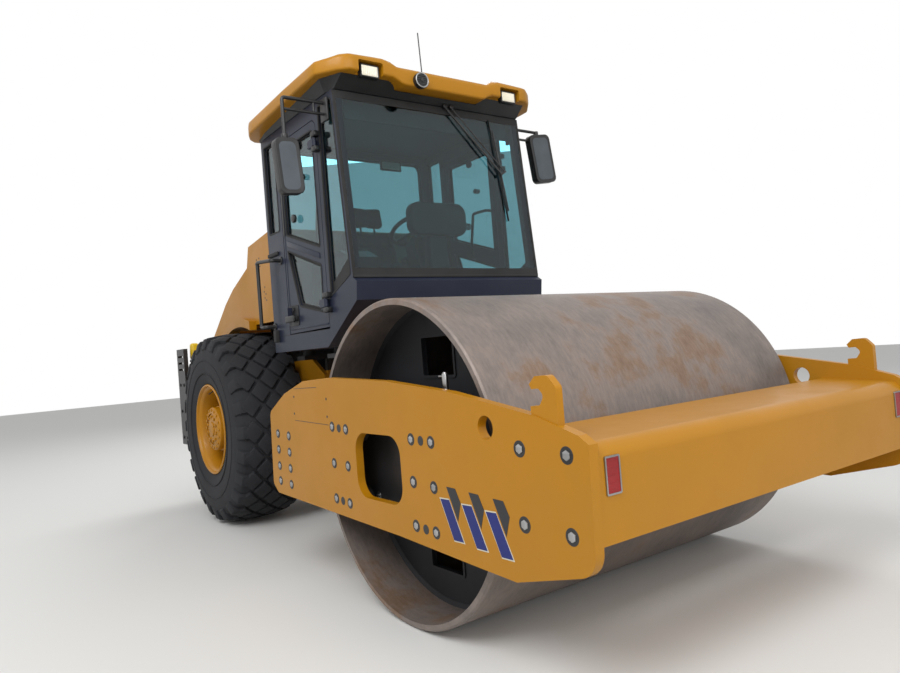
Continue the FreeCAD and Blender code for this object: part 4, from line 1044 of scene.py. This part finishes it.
def between(table, at):
    # value read from a table of (place, value), straight between its rows
    if at <= table[0][0]:
        return table[0][1]
    for (x0, v0), (x1, v1) in zip(table, table[1:]):
        if at <= x1:
            return v0 + (v1 - v0) * (at - x0) / (x1 - x0)
    return table[-1][1]


def roof_top(x, y):
    ridge = between(RIDGE_ACROSS, abs(y)) if abs(y) > 0.372 else 0.0
    return max(between(SLAB_TOP, x), min(between(RIDGE_RUN, x), ridge))


def roof_low(x, y):
    low = between(SLAB_LOW, x)
    return min(low, between(BROW_ACROSS, abs(y))) if x > ROOF_FRONT - 0.155 else low


def softened(height, x, y, reach=0.014):
    steps = (-reach, 0.0, reach)
    return sum(height(x + dx, y + dy) for dx in steps for dy in steps) / 9


ROWS = [ROOF_BACK, ROOF_BACK + 0.045] + [ROOF_BACK + 0.10 + 0.075 * k for k in range(15)]
ROWS += [ROOF_FRONT - 0.165, ROOF_FRONT - 0.145, ROOF_FRONT - 0.10, ROOF_FRONT - 0.045, ROOF_FRONT]
ACROSS = [0.0, 0.16, 0.30, 0.355, 0.385, 0.405, 0.430, 0.450, 0.475, 0.500, 0.56, 0.64, 0.72, 0.80, 0.855,
          0.90,
          0.945, 1.0]
ACROSS = [-v for v in reversed(ACROSS[1:])] + ACROSS
bpy.ops.mesh.primitive_grid_add(x_subdivisions=len(ROWS) - 1, y_subdivisions=len(ACROSS) - 1, size=2)
top = bpy.context.object
top.name = "roof_cap"
bpy.ops.object.duplicate()
under = bpy.context.object
for sheet, height in ((top, roof_top), (under, roof_low)):
    for v in sheet.data.vertices:
        x = ROWS[round((v.co.x + 1) / 2 * (len(ROWS) - 1))]
        y = ACROSS[round((v.co.y + 1) / 2 * (len(ACROSS) - 1))] * between(ROOF_HALF, x)
        v.co = (x, y, softened(height, x, y))
top = joined([top, under], "roof_cap")
pick(top, lambda edge: len(edge.link_faces) == 1, "EDGE")
bpy.ops.mesh.bridge_edge_loops()
outward()


def rim_edge(edge):
    # edges between the side band and the upper or lower sheet
    if len(edge.link_faces) != 2:
        return False
    up = [abs(f.normal.z) for f in edge.link_faces]
    return min(up) < 0.4 and max(up) > 0.6


pick(top, lambda edge: rim_edge(edge) and sum(f.normal.z for f in edge.link_faces) > 0, "EDGE")
bpy.ops.mesh.bevel(offset=0.026, segments=4, affect="EDGES")
leave()
pick(top, lambda edge: rim_edge(edge) and sum(f.normal.z for f in edge.link_faces) < -0.5, "EDGE")
bpy.ops.mesh.bevel(offset=0.014, segments=3, affect="EDGES")
leave()
for y in (-0.553, 0.553):
    cutter = rounded(block("cutter", (ROOF_FRONT - 0.060, y - 0.086, 2.90), (ROOF_FRONT + 0.05, y + 0.086,
            3.040)),
                     0.012, 3, along("x"))
    modified(top, "BOOLEAN", object=cutter, operation="DIFFERENCE")
    bpy.data.objects.remove(cutter)
settled(top, "roof", "yellow_paint", smooth=40)
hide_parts("roof")

# Work lamps in the niches, horn ring, antenna foot
lens_y = (-0.619, -0.487)
housing = rounded(block("roof_lamp_right", (ROOF_FRONT - 0.058, lens_y[0], 2.945),
                        (ROOF_FRONT - 0.016, lens_y[1], 3.028)), 0.010, 3)
inset_face(housing, facing((1, 0, 0)), 0.008, -0.006)
for piece in both_sides(housing, "roof_lamps", "black_metal"):
    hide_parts("roof_lamps")
lens = rounded(block("lens", (ROOF_FRONT - 0.030, lens_y[0] + 0.009, 2.954),
                     (ROOF_FRONT - 0.018, lens_y[1] - 0.009, 3.019)), 0.005, 3)
flutes = [rounded(block("flute", (ROOF_FRONT - 0.020, lens_y[0] + 0.016 + k * 0.0125, 2.960),
                        (ROOF_FRONT - 0.0155, lens_y[0] + 0.024 + k * 0.0125, 3.013)), 0.002,
                  2) for k in range(8)]
both_sides(joined([lens] + flutes, "roof_lamp_lens_right"), "roof_lamps", "lamp_lens")
HORN = (ROOF_FRONT + 0.030, -0.204, 2.970)
bpy.ops.object.select_all(action="DESELECT")
bpy.ops.mesh.primitive_torus_add(major_segments=48, minor_segments=10, major_radius=0.0445,
                                 minor_radius=0.0045,
                                 location=HORN, rotation=TURN_TO["x"])
ring = bpy.context.object
bpy.ops.object.transform_apply(location=True, rotation=True, scale=True)
settled(joined([ring], "horn_ring"), "horn_and_antenna", "bare_steel")
grille = []
for k in range(5):
    half = math.sqrt(0.036 ** 2 - (k * 0.013 - 0.026) ** 2)
    grille.append(rounded(block("bar", (HORN[0] - 0.002, HORN[1] - half, HORN[2] - 0.028 + k * 0.013),
                                (HORN[0] + 0.003, HORN[1] + half, HORN[2] - 0.023 + k * 0.013)), 0.001, 1))
grille.append(rounded(disc("hub", (HORN[0] + 0.002, HORN[1], HORN[2]), "x", 0.012, 0.008, 24), 0.002, 2,
                      corner))
settled(joined(grille, "horn_grille"), "horn_and_antenna", "black_metal")
foot = disc("foot", (ROOF_FRONT - 0.170, -0.060, 3.066), "z", 0.026, 0.028, 32)
pick(foot, lambda v: v.co.z > 3.07, "VERT")
bpy.ops.transform.resize(value=(0.62, 0.62, 1), center_override=(ROOF_FRONT - 0.170, -0.060, 3.08))
leave()
rounded(foot, 0.003, 2, corner)
settled(joined([foot], "antenna_foot"), "horn_and_antenna", "black_rubber")

# Seat: two padded pieces and a headrest, on the CAD's pedestal
SEAT_X = CAB_X + 0.490


def pad(name, low, high, cap, lean=0.0, foot=(0, 0, 0)):
    # foam block under cloth: rounded, remeshed, swollen by pressure and capped
    piece = block(name, low, high)
    rounded(piece, 0.030, 4)
    turn_piece(piece, foot, "Y", lean)
    modified(piece, "REMESH", mode="VOXEL", voxel_size=0.006, adaptivity=0)
    rest = [v.co.copy() for v in piece.data.vertices]
    cloth = piece.modifiers.new("Cloth", "CLOTH")
    cloth.settings.use_pressure = True
    cloth.settings.uniform_pressure_force = 4
    cloth.settings.effector_weights.gravity = 0
    for number in range(1, 21):
        bpy.context.scene.frame_set(number)
    bpy.context.view_layer.objects.active = piece
    bpy.ops.object.modifier_apply(modifier="Cloth")
    for v, was in zip(piece.data.vertices, rest):
        step = v.co - was
        if step.length > cap:
            v.co = was + step.normalized() * cap
    bpy.context.scene.frame_set(1)
    return piece


def channel(piece, where, half, deep, inward):
    # sewn line: points near it sink along a direction; where gives the distance from the line
    for v in piece.data.vertices:
        away = abs(where(v.co))
        if away < half:
            v.co += Vector(inward) * deep * (math.cos(math.pi * away / half) + 1) / 2
    return piece


LEAN = math.radians(11)
BACK_FOOT = (SEAT_X - 0.225, 0, 1.800)
cushion = pad("seat_cushion", (SEAT_X - 0.180, -0.235, 1.780), (SEAT_X + 0.230, 0.235, 1.880), 0.022)
back = pad("seat_backrest", (SEAT_X - 0.270, -0.225, 1.800), (SEAT_X - 0.180, 0.225, 2.230), 0.022, -11.0,
           BACK_FOOT)
head = pad("seat_headrest", (SEAT_X - 0.265, -0.135, 2.265), (SEAT_X - 0.190, 0.135, 2.425), 0.022, -11.0,
           BACK_FOOT)
for y in (-0.125, 0.125):
    channel(cushion, lambda c, y=y: c.y - y, 0.014, 0.010, (0, 0, -1))
    channel(back, lambda c, y=y: c.y - y, 0.014, 0.010, (-math.cos(LEAN), 0, -math.sin(LEAN)))
channel(cushion, lambda c: c.x - SEAT_X - 0.05, 0.014, 0.008, (0, 0, -1))
for z in (1.950, 2.090):
    channel(back, lambda c, z=z: c.z - z, 0.014, 0.008, (-math.cos(LEAN), 0, -math.sin(LEAN)))
for piece in (cushion, back, head):
    modified(piece, "SUBSURF", levels=1, render_levels=1)
    settled(piece, "seat", "seat_cloth", smooth=60)
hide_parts("seat")
frame_bits = [rounded(block("pan", (SEAT_X - 0.215, -0.225, 1.758), (SEAT_X + 0.215, 0.225, 1.785)), 0.010,
                      3)]
for y in (-0.060, 0.060):
    post = rounded(disc("post", (SEAT_X - 0.228, y, 2.250), "z", 0.008, 0.110, 20), 0.001, 1, corner)
    frame_bits.append(turn_piece(post, BACK_FOOT, "Y", -11.0))
for side in (-1, 1):
    arm = block("arm", (SEAT_X - 0.230, side * 0.285 - 0.030, 1.985), (SEAT_X + 0.110, side * 0.285 + 0.030,
            2.025))
    frame_bits.append(rounded(arm, 0.014, 4))
    strut = block("strut", (SEAT_X - 0.255, side * 0.262 - 0.012, 1.800), (SEAT_X - 0.205,
            side * 0.262 + 0.012, 2.010))
    frame_bits.append(rounded(strut, 0.006, 3))
shell_ = block("shell", (SEAT_X - 0.300, -0.205, 1.800), (SEAT_X - 0.272, 0.205, 2.220))
frame_bits.append(turn_piece(rounded(shell_, 0.012, 3), BACK_FOOT, "Y", -11.0))
settled(joined(frame_bits, "seat_frame"), "seat_base", "dark_plastic")

# Steering wheel: moulded ring on three spokes, with a spinner knob
TILT = math.atan2(46.3, 100.0)
WHEEL_HUB = Vector((CAB_X + 0.920 - math.sin(TILT) * 0.105, 0, 2.02315 + math.cos(TILT) * 0.105))
bpy.ops.object.select_all(action="DESELECT")
bpy.ops.mesh.primitive_torus_add(major_segments=64, minor_segments=14, major_radius=0.190,
                                 minor_radius=0.0145)
ring = bpy.context.object
spokes = []
for turn in (90, 210, 330):
    spoke = block("spoke", (0.020, -0.016, -0.006), (0.182, 0.016, 0.004))
    rounded(spoke, 0.004, 2)
    spokes.append(turn_piece(spoke, (0, 0, 0), "Z", turn))
centre = rounded(disc("centre", (0, 0, -0.004), "z", 0.048, 0.030), 0.006, 3, corner)
knob = rounded(disc("knob", (-0.190, 0, 0.040), "z", 0.021, 0.040, 24), 0.012, 4, corner)
stem = disc("stem", (0, 0, -0.058), "z", 0.024, 0.090, 24)
wheel = joined([ring] + spokes + [centre, knob, stem], "wheel_ring")
wheel.data.transform(Matrix.Translation(WHEEL_HUB) @ Matrix.Rotation(-TILT, 4, "Y"))
settled(wheel, "steering_wheel", "dark_plastic")
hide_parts("steering_wheel")

# Instrument pod with plain dials, travel lever, switches, pedals and a floor mat
POD_X = CAB_X + 1.070
pod = block("pod", (POD_X, -0.225, 2.030), (POD_X + 0.080, 0.225, 2.250))
rounded(pod, 0.070, 6, along("x"))
rounded(pod, 0.016, 4, corner)
inset_face(pod, facing((-1, 0, 0)), 0.012, -0.004)
neck = rounded(block("neck", (POD_X - 0.045, -0.070, 1.780), (POD_X + 0.045, 0.070, 2.050)), 0.012, 3)
settled(joined([pod, neck], "instrument_pod"), "steering_column", "dark_plastic")
dials = []
for y in (-0.120, 0.0, 0.120):
    dial = disc("dial", (POD_X, y, 2.150), "x", 0.042, 0.014, 36)
    rounded(dial, 0.003, 2, corner)
    inset_face(dial, facing((-1, 0, 0)), 0.005, -0.003)
    dials.append(dial)
settled(joined(dials, "dials"), "steering_column", "lamp_lens")
lever = [rounded(disc("boot", (SEAT_X + 0.130, -0.410, 1.990), "z", 0.034, 0.036, 32), 0.010, 3, corner),
         pipe("stem", [(SEAT_X + 0.130, -0.410, 1.990), (SEAT_X + 0.150, -0.405, 2.100)], 0.007, 4),
         rounded(block("grip", (SEAT_X + 0.130, -0.424, 2.090), (SEAT_X + 0.172, -0.386, 2.165)), 0.014, 4)]
for k in range(4):
    switch = block("switch", (SEAT_X - 0.200 + k * 0.055, -0.380, 1.964 + k * 0.0037),
                   (SEAT_X - 0.165 + k * 0.055, -0.355, 1.982 + k * 0.0037))
    lever.append(rounded(switch, 0.004, 2))
settled(joined(lever, "travel_lever"), "side_console", "dark_plastic")
FLOOR = 1.455
mat = rounded(block("mat", (CAB_X + 0.060, -0.640, FLOOR - 0.001), (CAB_X + 0.860, 0.640, FLOOR + 0.006)),
              0.003, 2)
pedals = [mat]
for y in (-0.220, 0.220):
    pedal = block("pedal", (CAB_X + 1.010, y - 0.045, 1.500), (CAB_X + 1.022, y + 0.045, 1.640))
    rounded(pedal, 0.005, 3)
    turn_piece(pedal, (CAB_X + 1.016, y, 1.570), "Y", 28)
    pedals.append(pedal)
    pedals.append(pipe("arm", [(CAB_X + 1.035, y, 1.545), (CAB_X + 1.060, y, 1.575)], 0.009, 4))
settled(joined(pedals, "floor_mat_and_pedals"), "cab_base", "black_rubber")
# Studio: pale floor, soft lamps, white behind
bpy.ops.object.select_all(action="DESELECT")
bpy.ops.mesh.primitive_plane_add(size=60, location=(0, 0, -0.002))
floor = bpy.context.object
floor.name = "floor"
m, t, s = surface("pale_floor", Roughness=0.9)
s.inputs["Base Color"].default_value = linear("#d9d9d7")
floor.data.materials.append(m)

world = bpy.context.scene.world or bpy.data.worlds.new("studio")
bpy.context.scene.world = world
world.use_nodes = True
wt = world.node_tree
for n in list(wt.nodes):
    wt.nodes.remove(n)
rays = add(wt, "ShaderNodeLightPath")
seen = add(wt, "ShaderNodeMath", {0: rays.outputs["Is Camera Ray"], 1: rays.outputs["Is Glossy Ray"]},
           operation="MAXIMUM")
seen = add(wt, "ShaderNodeMath", {0: seen.outputs[0], 1: rays.outputs["Is Transmission Ray"]},
           operation="MAXIMUM")
soft = add(wt, "ShaderNodeBackground", Color=(1, 1, 1, 1), Strength=0.55)
white = add(wt, "ShaderNodeBackground", Color=(1, 1, 1, 1), Strength=1.0)
blend = add(wt, "ShaderNodeMixShader", {0: seen.outputs[0], 1: soft.outputs[0], 2: white.outputs[0]})
add(wt, "ShaderNodeOutputWorld", {"Surface": blend.outputs[0]})


def area_lamp(name, at, toward, size, power):
    data = bpy.data.lights.new(name, "AREA")
    data.shape = "RECTANGLE"
    data.size, data.size_y = size
    data.energy = power
    lamp = bpy.data.objects.new(name, data)
    bpy.context.scene.collection.objects.link(lamp)
    lamp.location = at
    lamp.rotation_euler = (Vector(toward) - Vector(at)).to_track_quat("-Z", "Y").to_euler()


area_lamp("key", (5.0, -7.0, 8.0), (0, 0, 1), (5, 5), 650)
area_lamp("fill", (8.5, -1.5, 4.5), (0, 0, 1), (5, 4), 230)
area_lamp("back", (-7.0, 5.0, 7.0), (0, 0, 1), (5, 4), 350)

# Camera where the photograph was taken from
CAM_AT = Vector((DRUM_X + 2.859, -2.781, 1.265))
YAW, PITCH, ROLL = math.radians(144.018), math.radians(1.032), math.radians(-4.522)
look = Vector((math.cos(YAW) * math.cos(PITCH), math.sin(YAW) * math.cos(PITCH), math.sin(PITCH)))
right = Vector((math.sin(YAW), -math.cos(YAW), 0.0))
up = right.cross(look)
right_t = right * math.cos(ROLL) + up * math.sin(ROLL)
up_t = up * math.cos(ROLL) - right * math.sin(ROLL)
cam = bpy.data.objects.new("camera", bpy.data.cameras.new("camera"))
bpy.context.scene.collection.objects.link(cam)
cam.matrix_world = Matrix((
    (right_t.x, up_t.x, -look.x, CAM_AT.x), (right_t.y, up_t.y, -look.y, CAM_AT.y),
    (right_t.z, up_t.z, -look.z, CAM_AT.z), (0, 0, 0, 1)))
cam.data.sensor_fit = "HORIZONTAL"
cam.data.sensor_width = 36.0
cam.data.lens = 711.5 / 900 * 36.0
cam.data.dof.use_dof = False
bpy.context.scene.camera = cam
bpy.context.scene.view_settings.view_transform = "Standard"
